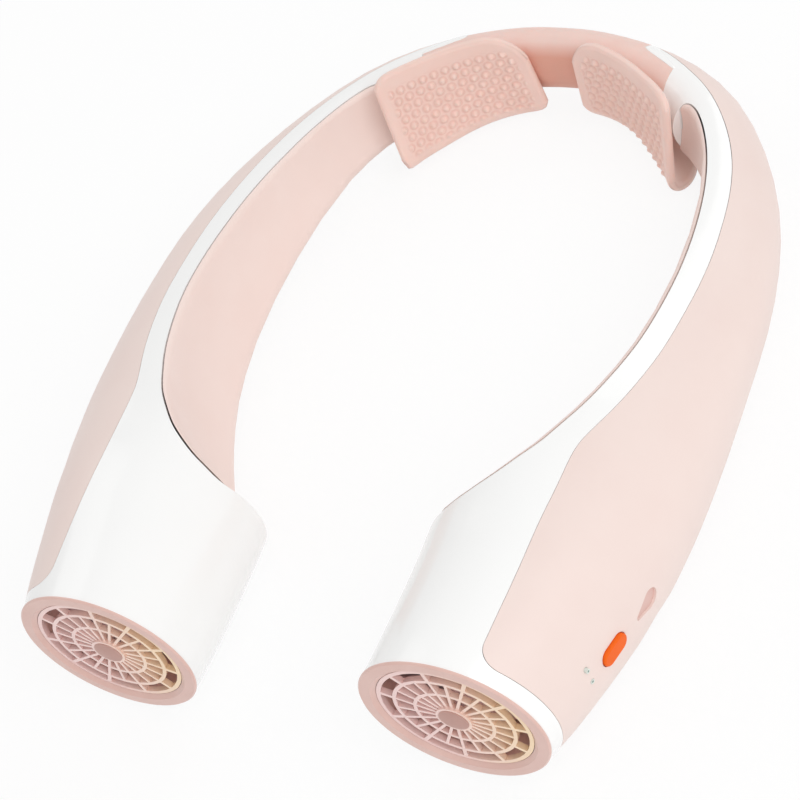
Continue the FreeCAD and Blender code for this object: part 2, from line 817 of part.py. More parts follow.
def blade():
    """One fan blade: a thin twisted plate from the hub to just short of the duct."""
    _, front, rear, _ = fan_levels()
    tip = shell_radius - wall - fit_gap - frame_wall - blade_tip_gap
    root = fan_hub_radius - fan_hub_wall / 2
    middle = (front + rear) / 2
    rings = []
    for mix in (0, 1 / 2, 1):
        chord = blade_root_chord * (1 - mix) + blade_tip_chord * mix
        pitch = math.radians(blade_root_pitch * (1 - mix) + blade_tip_pitch * mix)
        half_chord = chord / 2
        reach = math.sqrt(tip * tip - half_chord * half_chord)
        radius = root * (1 - mix) + reach * mix
        line = V(0, math.sin(pitch), math.cos(pitch)) * half_chord
        side = V(0, math.cos(pitch), -math.sin(pitch)) * (blade_thickness / 2)
        centre = V(intake_spacing / 2 + radius, middle, 0)
        upper, lower = centre + side, centre - side
        rings.append([upper + line, upper - line, lower - line, lower + line])
    return plated(rings)


def impeller():
    """The fan: a cup-shaped hub with a domed face, and its ring of blades."""
    _, front, rear, _ = fan_levels()
    inside = fan_hub_radius - fan_hub_wall
    hub = turned([
        (shaft_radius, front),
        (inside, front),
        (fan_hub_radius, front + fan_hub_wall),
        (fan_hub_radius, rear),
        (inside, rear),
        (inside, front + fan_hub_wall),
        (shaft_radius, front + fan_hub_wall),
    ])
    return hub.multiFuse(fan_axis_copies(blade(), blade_count)).removeSplitter()


def motor_parts():
    """The magnet ring and shaft that turn with the fan, and the stator and bush that stay."""
    _, front, rear, frame_rear = fan_levels()
    inside = fan_hub_radius - fan_hub_wall
    magnet_bore = inside - magnet_thickness
    face = front + fan_hub_wall
    strut_front = frame_rear - strut_thickness
    magnet = turned([(magnet_bore, face), (inside, face), (inside, rear), (magnet_bore, rear)])
    shaft_end = frame_rear - strut_thickness / 2
    shaft = turned([(0, front), (shaft_radius, front), (shaft_radius, shaft_end), (0, shaft_end)])
    bore = shaft_radius + shaft_gap
    bush_front = face + air_gap
    bush = turned([
        (bore, bush_front), (bush_radius, bush_front), (bush_radius, frame_rear), (bore, frame_rear),
    ])
    stator_radius = magnet_bore - air_gap
    core_radius = (bush_radius + stator_radius) / 2
    core = turned([
        (bush_radius, bush_front),
        (core_radius, bush_front),
        (core_radius, strut_front),
        (bush_radius, strut_front),
    ])
    length = stator_radius - bush_radius
    corner = V(intake_spacing / 2 + bush_radius + fit_gap, bush_front, -stator_tooth_width / 2)
    tooth = Part.makeBox(length - 2 * fit_gap, strut_front - bush_front, stator_tooth_width, corner)
    stator = core.multiFuse(fan_axis_copies(tooth, stator_teeth)).removeSplitter()
    return magnet, shaft, bush, stator


def battery_cell():
    """One round cell along the widest part of the arm, with its raised button end."""
    front = station_at(cell_front_station)
    rear = cell_length
    profile = [
        V(0, 0, 0), V(cell_radius, 0, 0), V(cell_radius, rear, 0), V(cell_button_radius, rear, 0),
        V(cell_button_radius, rear + cell_button_height, 0), V(0, rear + cell_button_height, 0),
    ]
    cell = Part.Face(Part.Wire(polygon(profile))).revolve(V(), AXIS_Y, FULL_TURN)
    cell.translate(V(arm_half_span + cell_offset, front.centre.y, 0))
    return cell


def battery_cradle():
    """Two bulkheads and a floor rail, cut to the inside of the arm, that hold the cell."""
    room = hollow_form(wall + fit_gap)
    first, second = [station_at(place).centre.y for place in cradle_stations]
    across = 2 * shell_radius
    left = arm_half_span - shell_radius
    corners = [V(left, start, -shell_radius) for start in (first, second)]
    plates = [Part.makeBox(across, cradle_plate, across, corner) for corner in corners]
    rail_corner = V(arm_half_span + cell_offset - cell_radius / 2, first, -across - cell_radius)
    rail = Part.makeBox(cell_radius, second - first, across, rail_corner)
    seat = Part.makeCylinder(
        cell_radius + fit_gap, 2 * cell_length,
        V(arm_half_span + cell_offset, first - cell_length / 2, 0), AXIS_Y,
    )
    block = plates[0].multiFuse([plates[1], rail])
    return block.common(room).cut(liner_zone()).cut(seat).removeSplitter()


def band_form():
    """The band's solid form, through both sides' sections from end to end."""
    half = [station_at(place) for place in half_places(band_start, len(STATIONS) - 1)]
    wires = [section_wire(station) for station in half]
    wires += [section_wire(station, 0, True) for station in reversed(half[:-1])]
    return Part.makeLoft(wires, True, True)


def band_line(height):
    """Points along the middle of the band from the right joint to the left, at one height."""
    half = [station_at(place).centre + AXIS_Z * height for place in band_core_stations]
    return half + [V(-point.x, point.y, point.z) for point in reversed(half[:-1])]


def band_ribbon(thickness, low, height):
    """A flat ribbon on edge along the middle of the band."""
    points = band_line(low)
    outer, inner = moved_aside(points, -thickness / 2), moved_aside(points, thickness / 2)
    edges = [spline(outer), spline(inner)]
    edges += [Part.LineSegment(outer[index], inner[index]).toShape() for index in (0, -1)]
    return Part.Face(Part.Wire(Part.__sortEdges__(edges))).extrude(AXIS_Z * height)


def band_core():
    """The flat spring strip and the flat lead below it that run inside the band."""
    middle = (STATIONS[-1].top - STATIONS[-1].bottom) / 2
    low = middle - strip_height / 2
    strip = band_ribbon(strip_thickness, low, strip_height)
    lead = band_ribbon(lead_thickness, low - lead_height - strip_thickness, lead_height)
    return strip, lead


def pad_section(place, rounding, standing, lean, lip):
    """The hook-shaped section of a neck pad at a station: a leaning plate with a curled lower lip."""
    station = station_at(place)
    inward = station.out * -1
    back = station.centre + inward * (station.inner + fit_gap + standing * pad_stand_off)
    drop = rounding * pad_end_round
    reach = lip * pad_lip
    top, bottom = pad_top - drop, -pad_bottom + drop / 2
    turn = bottom + pad_curl

    def at(depth, height):
        return back + inward * (depth - lean * height) + AXIS_Z * height

    curl_inner = pad_curl - pad_thickness
    half = math.sqrt(1 / 2)
    centre = pad_thickness - pad_curl
    points = [
        at(0, top), at(pad_thickness, top), at(pad_thickness, turn),
        at(centre, bottom), at(centre - reach, bottom),
        at(centre - reach, bottom + pad_thickness), at(centre, bottom + pad_thickness), at(0, turn),
    ]
    outer_middle = at(centre + pad_curl * half, turn - pad_curl * half)
    inner_middle = at(centre + curl_inner * half, turn - curl_inner * half)
    edges = [
        Part.LineSegment(points[0], points[1]).toShape(),
        Part.LineSegment(points[1], points[2]).toShape(),
        Part.Arc(points[2], outer_middle, points[3]).toShape(),
        Part.LineSegment(points[3], points[4]).toShape(),
        Part.LineSegment(points[4], points[5]).toShape(),
        Part.LineSegment(points[5], points[6]).toShape(),
        Part.Arc(points[6], inner_middle, points[7]).toShape(),
        Part.LineSegment(points[7], points[0]).toShape(),
    ]
    return Part.Wire(edges)


def neck_pad():
    """The soft pad on the inside of the band, hooked under it."""
    wires = [pad_section(*row) for row in pad_shares]
    return Part.makeLoft(wires, True, True)


def build():
    """Every piece by name, modelled as worn."""
    walls = arm_walls()
    shell = walls.cut(cover_zone()).cut(liner_zone())
    cover = walls.common(cover_zone(fit_gap))
    magnet, shaft, bush, stator = motor_parts()
    usb_socket, charge_board = usb_parts()
    strip, lead = band_core()
    arm_side = junction_zone(True, -joint_gap)
    band = band_form().cut(arm_side).cut(mirror(arm_side))
    pieces = {
        "neck_band": band.cut(strip).cut(lead),
        "band_spring_strip": strip,
        "band_lead": lead,
        "right_neck_pad": neck_pad(),
        "left_neck_pad": mirror(neck_pad()),
    }
    both = {
        "arm_shell": shell,
        "inner_liner": inner_liner(),
        "intake_bezel": intake_bezel(),
        "intake_grille": intake_grille(),
        "fan_frame": fan_frame(),
        "impeller": impeller(),
        "rotor_magnet": magnet,
        "motor_shaft": shaft,
        "motor_bush": bush,
        "motor_stator": stator,
        "battery_cell": battery_cell(),
        "battery_cradle": battery_cradle(),
    }
    for name, shape in both.items():
        pieces["right_" + name] = shape
        pieces["left_" + name] = mirror(shape)
    pieces["right_outer_cover"] = button_fittings(cover)
    pieces["left_outer_cover"] = mirror(usb_fittings(cover))
    pieces["power_button"] = power_button()
    pieces["button_switch"] = button_switch()
    pieces["control_board"] = control_board()
    pieces["control_board_screws"] = board_screws()
    pieces["led_light_pipes"] = led_light_pipes()
    pieces["usb_socket"] = mirror(usb_socket)
    pieces["charge_board"] = mirror(charge_board)
    return pieces


def low_point(shape, tilt):
    """The lowest height of a shape when it leans back by the tilt."""
    return shape.rotated(V(), AXIS_X, -tilt).optimalBoundingBox(False, False).ZMin


def rest_tilt(pieces):
    """How far the fan leans back on a table, when the arms' bellies and the pads both touch it."""
    tilt = 0
    for _ in range(tilt_rounds):
        rise = low_point(pieces["right_neck_pad"], tilt) - low_point(pieces["right_arm_shell"], tilt)
        tilt += math.degrees(rise / arm_reach)
    return tilt


def set_down(pieces):
    """The pieces leaned back until arms and pads touch the table, centred over the origin."""
    tilt = rest_tilt(pieces)
    leaned = {name: shape.rotated(V(), AXIS_X, -tilt) for name, shape in pieces.items()}
    box = Part.Compound(list(leaned.values())).optimalBoundingBox(False, False)
    shift = V(-box.Center.x, -box.Center.y, -box.ZMin)
    for shape in leaned.values():
        shape.translate(shift)
    print("set down: tilt", tilt, "shift", shift)
    return leaned


os.makedirs("parts", exist_ok=True)
for node, solid in set_down(build()).items():
    solid.exportStep(os.path.join("parts", node + ".step"))
    kinds = [piece.isValid() for piece in solid.Solids]
    print(node, len(solid.Solids), all(kinds), round(solid.Volume, 1))
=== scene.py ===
import logging
import math
from dataclasses import dataclass, field
from enum import Enum
from typing import Any, ClassVar

import bpy
import numpy as np
from mathutils import Matrix, Vector


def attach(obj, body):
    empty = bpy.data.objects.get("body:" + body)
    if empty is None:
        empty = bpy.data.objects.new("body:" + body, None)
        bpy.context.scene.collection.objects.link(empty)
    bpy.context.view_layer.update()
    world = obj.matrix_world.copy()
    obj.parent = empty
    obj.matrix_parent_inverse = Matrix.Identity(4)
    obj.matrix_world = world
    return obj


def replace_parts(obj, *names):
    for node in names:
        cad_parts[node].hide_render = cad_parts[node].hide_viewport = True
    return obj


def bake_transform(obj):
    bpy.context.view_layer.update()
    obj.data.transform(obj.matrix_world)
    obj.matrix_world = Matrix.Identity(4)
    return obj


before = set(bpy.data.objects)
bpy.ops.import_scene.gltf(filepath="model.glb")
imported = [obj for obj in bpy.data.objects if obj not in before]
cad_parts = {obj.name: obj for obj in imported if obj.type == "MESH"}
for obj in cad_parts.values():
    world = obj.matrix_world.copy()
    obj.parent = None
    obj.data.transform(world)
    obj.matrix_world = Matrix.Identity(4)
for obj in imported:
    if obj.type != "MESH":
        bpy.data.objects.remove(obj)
log = logging.getLogger("neck_fan")

MM = 0.001
MICRONS_PER_METRE = 1e6
PHOTO_SIDE_PX = 800
WHITE = (1.0, 1.0, 1.0, 1.0)
# Point attribute with each point's share of painted shade.
PAINTED_SHADE_ATTRIBUTE = "painted_shade_share"

Tree = bpy.types.NodeTree
Socket = bpy.types.NodeSocket
Piece = bpy.types.Object
Pair = tuple[float, float]
Triple = tuple[float, float, float]
Colour = tuple[float, float, float, float]
Table = tuple[tuple[float, ...], ...]


def linear(hex_colour: str) -> Colour:
    """Turn an sRGB hex value into a linear colour with full cover.

    Args:
        hex_colour: Six hex digits after a hash sign.

    Returns:
        Red, green, blue and alpha, linear.
    """
    parts = np.array([int(hex_colour[i:i + 2], 16) for i in (1, 3, 5)]) / 255
    low, high = parts / 12.92, ((parts + 0.055) / 1.055) ** 2.4
    red, green, blue = np.where(parts <= 0.04045, low, high)
    return float(red), float(green), float(blue), 1.0


def add_node(tree: Tree, kind: str, inputs: dict[Any, Any] | None = None, **settings: Any) -> bpy.types.Node:
    """Add a node, set its properties, and fill or link its input sockets.

    Args:
        tree: Node tree that gets the node.
        kind: Blender's name of the node type.
        inputs: Socket name or number to a value or to another node's output socket.
        settings: Properties of the node.

    Returns:
        The new node.
    """
    node = tree.nodes.new(kind)
    for name, value in settings.items():
        setattr(node, name, value)
    for socket, value in (inputs or {}).items():
        if isinstance(value, Socket):
            tree.links.new(value, node.inputs[socket])
        else:
            node.inputs[socket].default_value = value
    return node


class Surface(Enum):
    """The surfaces. A value is the record's material slot and, after a dot, which variant of it."""

    WHITE_SHELL = "white_shell"
    PINK_COVER = "pink_cover"
    THUMB_PAINTED_SHADE = "pink_cover.thumb"
    PINK_LINER = "pink_liner"
    PINK_TRIM = "pink_trim"
    GRILLE_RIBS = "pink_trim.ribs"
    GRILLE_HUB = "pink_trim.hub"
    BAND_SILICONE = "band_silicone"
    PAD_SILICONE = "pad_silicone"
    FAN_PLASTIC = "fan_plastic"
    FAN_DUCT = "fan_plastic.duct"
    INNER_PLASTIC = "inner_plastic"
    ORANGE_BUTTON = "orange_button"
    LIGHT_PIPE = "light_pipe"
    LIGHT_DOT = "light_pipe.dot"
    CELL_WRAP = "cell_wrap"
    CIRCUIT_BOARD = "circuit_board"
    STEEL = "steel"
    FERRITE = "ferrite"
    BRONZE = "bronze"
    COPPER_WINDING = "copper_winding"
    LEAD_JACKET = "lead_jacket"

    @property
    def slot(self) -> str:
        """The record's material slot."""
        return self.value.partition(".")[0]


class Relief(Enum):
    """How a surface was made, which gives its fine relief."""

    MOULDED = "fine even grain from the mould"
    BRUSHED = "long lines of drawing or turning"
    WOUND = "wire lying turn beside turn"
    LAMINATE = "copper traces under a solder mask"


@dataclass(frozen=True)
class Finish:
    """One real material: its two tones, gloss and fine relief, with sizes in millimetres; on some, painted
    light mixed into the colour.
    """

    name: str
    colour: str
    shade: str
    mottle_mm: float
    roughness: float
    roughness_spread: float
    grain_mm: float
    grain_depth_mm: float
    relief: Relief = Relief.MOULDED
    ior: float = 1.5
    specular: float = 0.5
    metallic: float = 0.0
    coat: float = 0.0
    coat_roughness: float = 0.05
    sheen: float = 0.0
    soft_mm: float = 0.0
    clear: float = 0.0
    # Colour of a painted reflection, highest towards the +X side of each intake.
    painted_glint: str = ""
    # Colour of painted shade, mixed in by each point's painted-shade share.
    inner: str = ""
    mottle_detail: ClassVar[float] = 3.0
    grain_detail: ClassVar[float] = 2.0
    brush_stretch: ClassVar[float] = 0.05
    wire_wander: ClassVar[float] = 0.4
    wave_rate: ClassVar[float] = 20.0
    # The painted reflection's wave: its length, the place of a peak and how narrow it is.
    painted_glint_wave_mm: ClassVar[float] = 103.6
    painted_glint_peak_mm: ClassVar[float] = 76.0
    painted_glint_narrowing: ClassVar[float] = 3.0
    soft_share: ClassVar[float] = 0.25
    soft_radii: ClassVar[Triple] = (1.0, 0.55, 0.45)

    @staticmethod
    def per_metre(size_mm: float) -> float:
        """Scale of a pattern whose feature has this real size."""
        return 1 / (size_mm * MM)

    def height(self, tree: Tree, place: Socket) -> Socket:
        """Add the nodes of the fine relief.

        Args:
            tree: The material's node tree.
            place: Object coordinates.

        Returns:
            The socket with the height, from 0 to 1.
        """
        scale = self.per_metre(self.grain_mm)
        if self.relief is Relief.WOUND:
            turns = {"Vector": place, "Scale": scale / math.tau, "Distortion": self.wire_wander}
            return add_node(tree, "ShaderNodeTexWave", turns, bands_direction="Y").outputs["Fac"]
        if self.relief is Relief.LAMINATE:
            traces = {"Vector": place, "Scale": scale}
            return add_node(tree, "ShaderNodeTexVoronoi", traces, distance="MANHATTAN").outputs["Distance"]
        if self.relief is Relief.BRUSHED:
            lines = {"Vector": place, "Scale": (1, self.brush_stretch, 1)}
            place = add_node(tree, "ShaderNodeMapping", lines).outputs["Vector"]
        grain = {"Vector": place, "Scale": scale, "Detail": self.grain_detail}
        return add_node(tree, "ShaderNodeTexNoise", grain).outputs["Fac"]

    @staticmethod
    def mixed(tree: Tree, share: Socket, colour: Socket | Colour, other: str) -> Socket:
        """Add a mix of a colour with another one by a share."""
        mix = add_node(tree, "ShaderNodeMix", {0: share, 6: colour, 7: linear(other)}, data_type="RGBA")
        return mix.outputs[2]

    def painted_glint_share(self, tree: Tree, place: Socket) -> Socket:
        """Add the share of a painted reflection, a warm gold glint: one wave across each intake, highest
        towards its +X side.

        Args:
            tree: The material's node tree.
            place: Object coordinates.

        Returns:
            The socket with the share, from 0 to 1.
        """
        steps = math.tau / (self.painted_glint_wave_mm * MM)
        wave = add_node(tree, "ShaderNodeTexWave", {
            "Vector": place, "Scale": steps / self.wave_rate,
            "Phase Offset": math.pi - steps * self.painted_glint_peak_mm * MM}, bands_direction="X").outputs["Fac"]
        narrow = {0: wave, 1: self.painted_glint_narrowing}
        return add_node(tree, "ShaderNodeMath", narrow, operation="POWER").outputs[0]

    def material(self) -> bpy.types.Material:
        """Make the procedural material.

        Returns:
            A material on Object coordinates, with mottled colour, uneven gloss and a fine bump.
        """
        made = bpy.data.materials.new(self.name)
        made.use_nodes = True
        tree = made.node_tree
        shader = tree.nodes["Principled BSDF"]
        place = add_node(tree, "ShaderNodeTexCoord").outputs["Object"]
        mottle = add_node(tree, "ShaderNodeTexNoise", {
            "Vector": place, "Scale": self.per_metre(self.mottle_mm),
            "Detail": self.mottle_detail}).outputs["Fac"]
        gloss = add_node(tree, "ShaderNodeMapRange", {
            "Value": mottle, "To Min": self.roughness - self.roughness_spread,
            "To Max": self.roughness + self.roughness_spread}).outputs["Result"]
        bump = add_node(tree, "ShaderNodeBump", {
            "Height": self.height(tree, place), "Strength": 1.0,
            "Distance": self.grain_depth_mm * MM}).outputs["Normal"]
        colour = self.mixed(tree, mottle, linear(self.colour), self.shade)
        # Painted reflection: a warm gold glint mixed in towards the +X side of each intake.
        if self.painted_glint:
            colour = self.mixed(tree, self.painted_glint_share(tree, place), colour, self.painted_glint)
        # Painted shade: a darker colour mixed in by each point's share.
        if self.inner:
            share = add_node(tree, "ShaderNodeAttribute", attribute_name=PAINTED_SHADE_ATTRIBUTE).outputs["Fac"]
            colour = self.mixed(tree, share, colour, self.inner)
        for socket, source in (("Base Color", colour), ("Roughness", gloss), ("Normal", bump)):
            tree.links.new(source, shader.inputs[socket])
        constants: dict[str, Any] = {
            "Specular IOR Level": self.specular, "Metallic": self.metallic, "Coat Weight": self.coat,
            "Coat Roughness": self.coat_roughness, "Sheen Weight": self.sheen,
            "Transmission Weight": self.clear}
        if not self.metallic:
            constants["IOR"] = self.ior
        if self.soft_mm:
            constants |= {"Subsurface Weight": self.soft_share, "Subsurface Radius": self.soft_radii,
                          "Subsurface Scale": self.soft_mm * MM}
        for socket, value in constants.items():
            shader.inputs[socket].default_value = value
        return made


# Each finish is named for its real material. After the two tones come the size of the mottle, the
# roughness and its spread, and the size and depth of the grain. The grain of moulded plastic and
# silicone is drawn at about 0.4 mm, coarser than the real 0.05 mm, because a finer one would not show.
FINISHES: dict[Surface, Finish] = {
    # Glossy ABS straight from a polished mould: clear reflections, hardly any texture.
    Surface.WHITE_SHELL: Finish(
        "abs_white_polished", "#fdfdfc", "#fafaf9", 30, 0.16, 0.03, 0.6, 0.002, coat=0.3),
    # ABS with a satin spray coat: wide soft highlights and a very fine even grain.
    Surface.PINK_COVER: Finish("abs_pink_satin_coat", "#f3e1da", "#efdad3", 18, 0.42, 0.04, 0.35, 0.006),
    # The floor of the thumb recess is painted a darker pink: painted shade.
    Surface.THUMB_PAINTED_SHADE: Finish(
        "abs_pink_satin_thumb_painted_shade", "#e3bfb7", "#dcb5ac", 6, 0.46, 0.04, 0.35, 0.006),
    Surface.PINK_LINER: Finish("abs_pink_satin_liner", "#f8e5de", "#f4ddd5", 18, 0.45, 0.05, 0.35, 0.006),
    # Semi-gloss ABS of the intake ring, and the glossier ribs of the grille, which carry a warm gold painted
    # reflection.
    Surface.PINK_TRIM: Finish(
        "abs_pink_semi_gloss", "#e6c2b8", "#deb5aa", 8, 0.32, 0.05, 0.4, 0.004, coat=0.2),
    Surface.GRILLE_RIBS: Finish(
        "abs_pink_gloss_ribs", "#f8dad5", "#f4cec9", 6, 0.22, 0.05, 0.4, 0.004, coat=0.4, painted_glint="#ffe0b4"),
    Surface.GRILLE_HUB: Finish("abs_rose_hub_inlay", "#c4968a", "#ba8a7e", 5, 0.34, 0.05, 0.4, 0.004),
    # Liquid silicone rubber, moulded against a fine spark finish: dull, soft and slightly see-through.
    # The band's inner face is painted a darker salmon: painted shade.
    Surface.BAND_SILICONE: Finish(
        "silicone_band_moulded", "#f4d7ce", "#f0cec4", 6, 0.55, 0.06, 0.35, 0.010, ior=1.42, sheen=0.1,
        soft_mm=1.2, inner="#e0a795"),
    # The ring round each bump of the pad is painted darker: painted shade.
    Surface.PAD_SILICONE: Finish(
        "silicone_pad_moulded", "#f7dbd1", "#f3d2c7", 6, 0.50, 0.06, 0.35, 0.008, ior=1.42, sheen=0.1,
        soft_mm=1.2, inner="#ebc4b8"),
    # Glossy polypropylene of the fan, tinted rose, in a duct; both carry a warm gold painted reflection.
    Surface.FAN_PLASTIC: Finish(
        "polypropylene_rose", "#f5d6d6", "#efc9c9", 5, 0.28, 0.05, 0.5, 0.004, coat=0.3, painted_glint="#ffcf9c"),
    Surface.FAN_DUCT: Finish(
        "polypropylene_painted_glint_coat", "#f7dddb", "#f1d0ce", 5, 0.30, 0.06, 0.5, 0.004, coat=0.3,
        painted_glint="#ffcc92"),
    Surface.INNER_PLASTIC: Finish("abs_natural_inner", "#d2cec8", "#c6c1ba", 8, 0.50, 0.06, 0.4, 0.010),
    # Orange ABS with a satin face.
    Surface.ORANGE_BUTTON: Finish(
        "abs_orange_satin", "#f86c1a", "#f2620d", 4, 0.50, 0.04, 0.3, 0.004, specular=0.2),
    # Clear polycarbonate pins, each with the dark face of its small lamp behind the end.
    Surface.LIGHT_PIPE: Finish(
        "polycarbonate_clear_pin", "#e9efe8", "#dfe8df", 1, 0.30, 0.03, 0.3, 0.002, ior=1.58, clear=0.1),
    Surface.LIGHT_DOT: Finish("epoxy_lamp_face", "#7d948a", "#6b8278", 0.5, 0.30, 0.05, 0.3, 0.002),
    Surface.CELL_WRAP: Finish("pvc_shrink_wrap_blue", "#66789a", "#5b6c8d", 6, 0.30, 0.05, 0.8, 0.020),
    Surface.CIRCUIT_BOARD: Finish(
        "glass_epoxy_solder_mask", "#1d5c3a", "#2b7a4c", 1.2, 0.40, 0.08, 1.6, 0.035, relief=Relief.LAMINATE),
    Surface.STEEL: Finish(
        "spring_steel_drawn", "#a2a2a4", "#8f9092", 2, 0.34, 0.08, 0.25, 0.006, relief=Relief.BRUSHED,
        metallic=1.0),
    Surface.FERRITE: Finish("bonded_ferrite_dark", "#3a3a3c", "#2c2c2e", 1.5, 0.62, 0.08, 0.3, 0.020),
    Surface.BRONZE: Finish(
        "sintered_bronze_bush", "#b98f5c", "#a57c48", 0.8, 0.42, 0.10, 0.25, 0.015, metallic=1.0),
    Surface.COPPER_WINDING: Finish(
        "enamelled_copper_wire", "#b8703f", "#9c5a2e", 0.6, 0.30, 0.08, 0.35, 0.060, relief=Relief.WOUND,
        metallic=1.0),
    Surface.LEAD_JACKET: Finish("pvc_lead_black", "#242424", "#1c1c1c", 2, 0.50, 0.06, 0.5, 0.010),
}

# The surface of each CAD node, by its name without the side.
NODE_SURFACES: dict[str, Surface] = {
    "arm_shell": Surface.WHITE_SHELL, "outer_cover": Surface.PINK_COVER, "inner_liner": Surface.PINK_LINER,
    "intake_bezel": Surface.PINK_TRIM, "intake_grille": Surface.GRILLE_RIBS, "fan_frame": Surface.FAN_DUCT,
    "impeller": Surface.FAN_PLASTIC, "rotor_magnet": Surface.FERRITE, "motor_shaft": Surface.STEEL,
    "motor_bush": Surface.BRONZE, "motor_stator": Surface.COPPER_WINDING, "battery_cell": Surface.CELL_WRAP,
    "battery_cradle": Surface.INNER_PLASTIC, "power_button": Surface.ORANGE_BUTTON,
    "button_switch": Surface.INNER_PLASTIC, "control_board": Surface.CIRCUIT_BOARD,
    "control_board_screws": Surface.STEEL, "led_light_pipes": Surface.LIGHT_PIPE, "usb_socket": Surface.STEEL,
    "charge_board": Surface.CIRCUIT_BOARD, "neck_band": Surface.BAND_SILICONE,
    "band_spring_strip": Surface.STEEL, "band_lead": Surface.LEAD_JACKET, "neck_pad": Surface.PAD_SILICONE,
}


class Paints:
    """The materials, made once for each surface."""

    def __init__(self) -> None:
        """Make every finish's material."""
        self.made = {surface: finish.material() for surface, finish in FINISHES.items()}

    def put(self, piece: Piece, *surfaces: Surface) -> None:
        """Give a piece its materials, the first one all over unless its faces say otherwise.

        Args:
            piece: Mesh object.
            surfaces: One surface for each of the mesh's material numbers.
        """
        while len(piece.material_slots) < len(surfaces):
            piece.data.materials.append(None)
        for held, surface in zip(piece.material_slots, surfaces):
            held.link = "OBJECT"
            held.material = self.made[surface]

    def dress(self, piece: Piece, surface: Surface) -> None:
        """Give one of the looks' own pieces its material."""
        self.put(piece, surface)


class Side(Enum):
    """Left or right, as seen facing the intakes. The value turns X round."""

    LEFT = -1
    RIGHT = 1

    @property
    def word(self) -> str:
        """The side's name in the node names."""
        return self.name.lower()


@dataclass(frozen=True)
class TablePlace:
    """How the fan lies: modelled with level arms, then leaned back and set down on the table."""

    lean_deg: float = 3.101857
    back_mm: float = -115.25131
    rise_mm: float = 30.99259

    def directions(self, vectors: np.ndarray) -> np.ndarray:
        """Lean vectors back: a turn about X.

        Args:
            vectors: X, Y, Z in the last axis.

        Returns:
            The turned vectors.
        """
        cosine, sine = math.cos(math.radians(self.lean_deg)), math.sin(math.radians(self.lean_deg))
        x, y, z = np.moveaxis(np.asarray(vectors, float), -1, 0)
        return np.stack([x, y * cosine + z * sine, z * cosine - y * sine], axis=-1)

    def points(self, points_mm: np.ndarray) -> np.ndarray:
        """Lean points back, set them down, and turn millimetres into metres.

        Args:
            points_mm: X, Y, Z in the last axis.

        Returns:
            The places in the row frame, in metres.
        """
        return (self.directions(points_mm) + (0, self.back_mm, self.rise_mm)) * MM


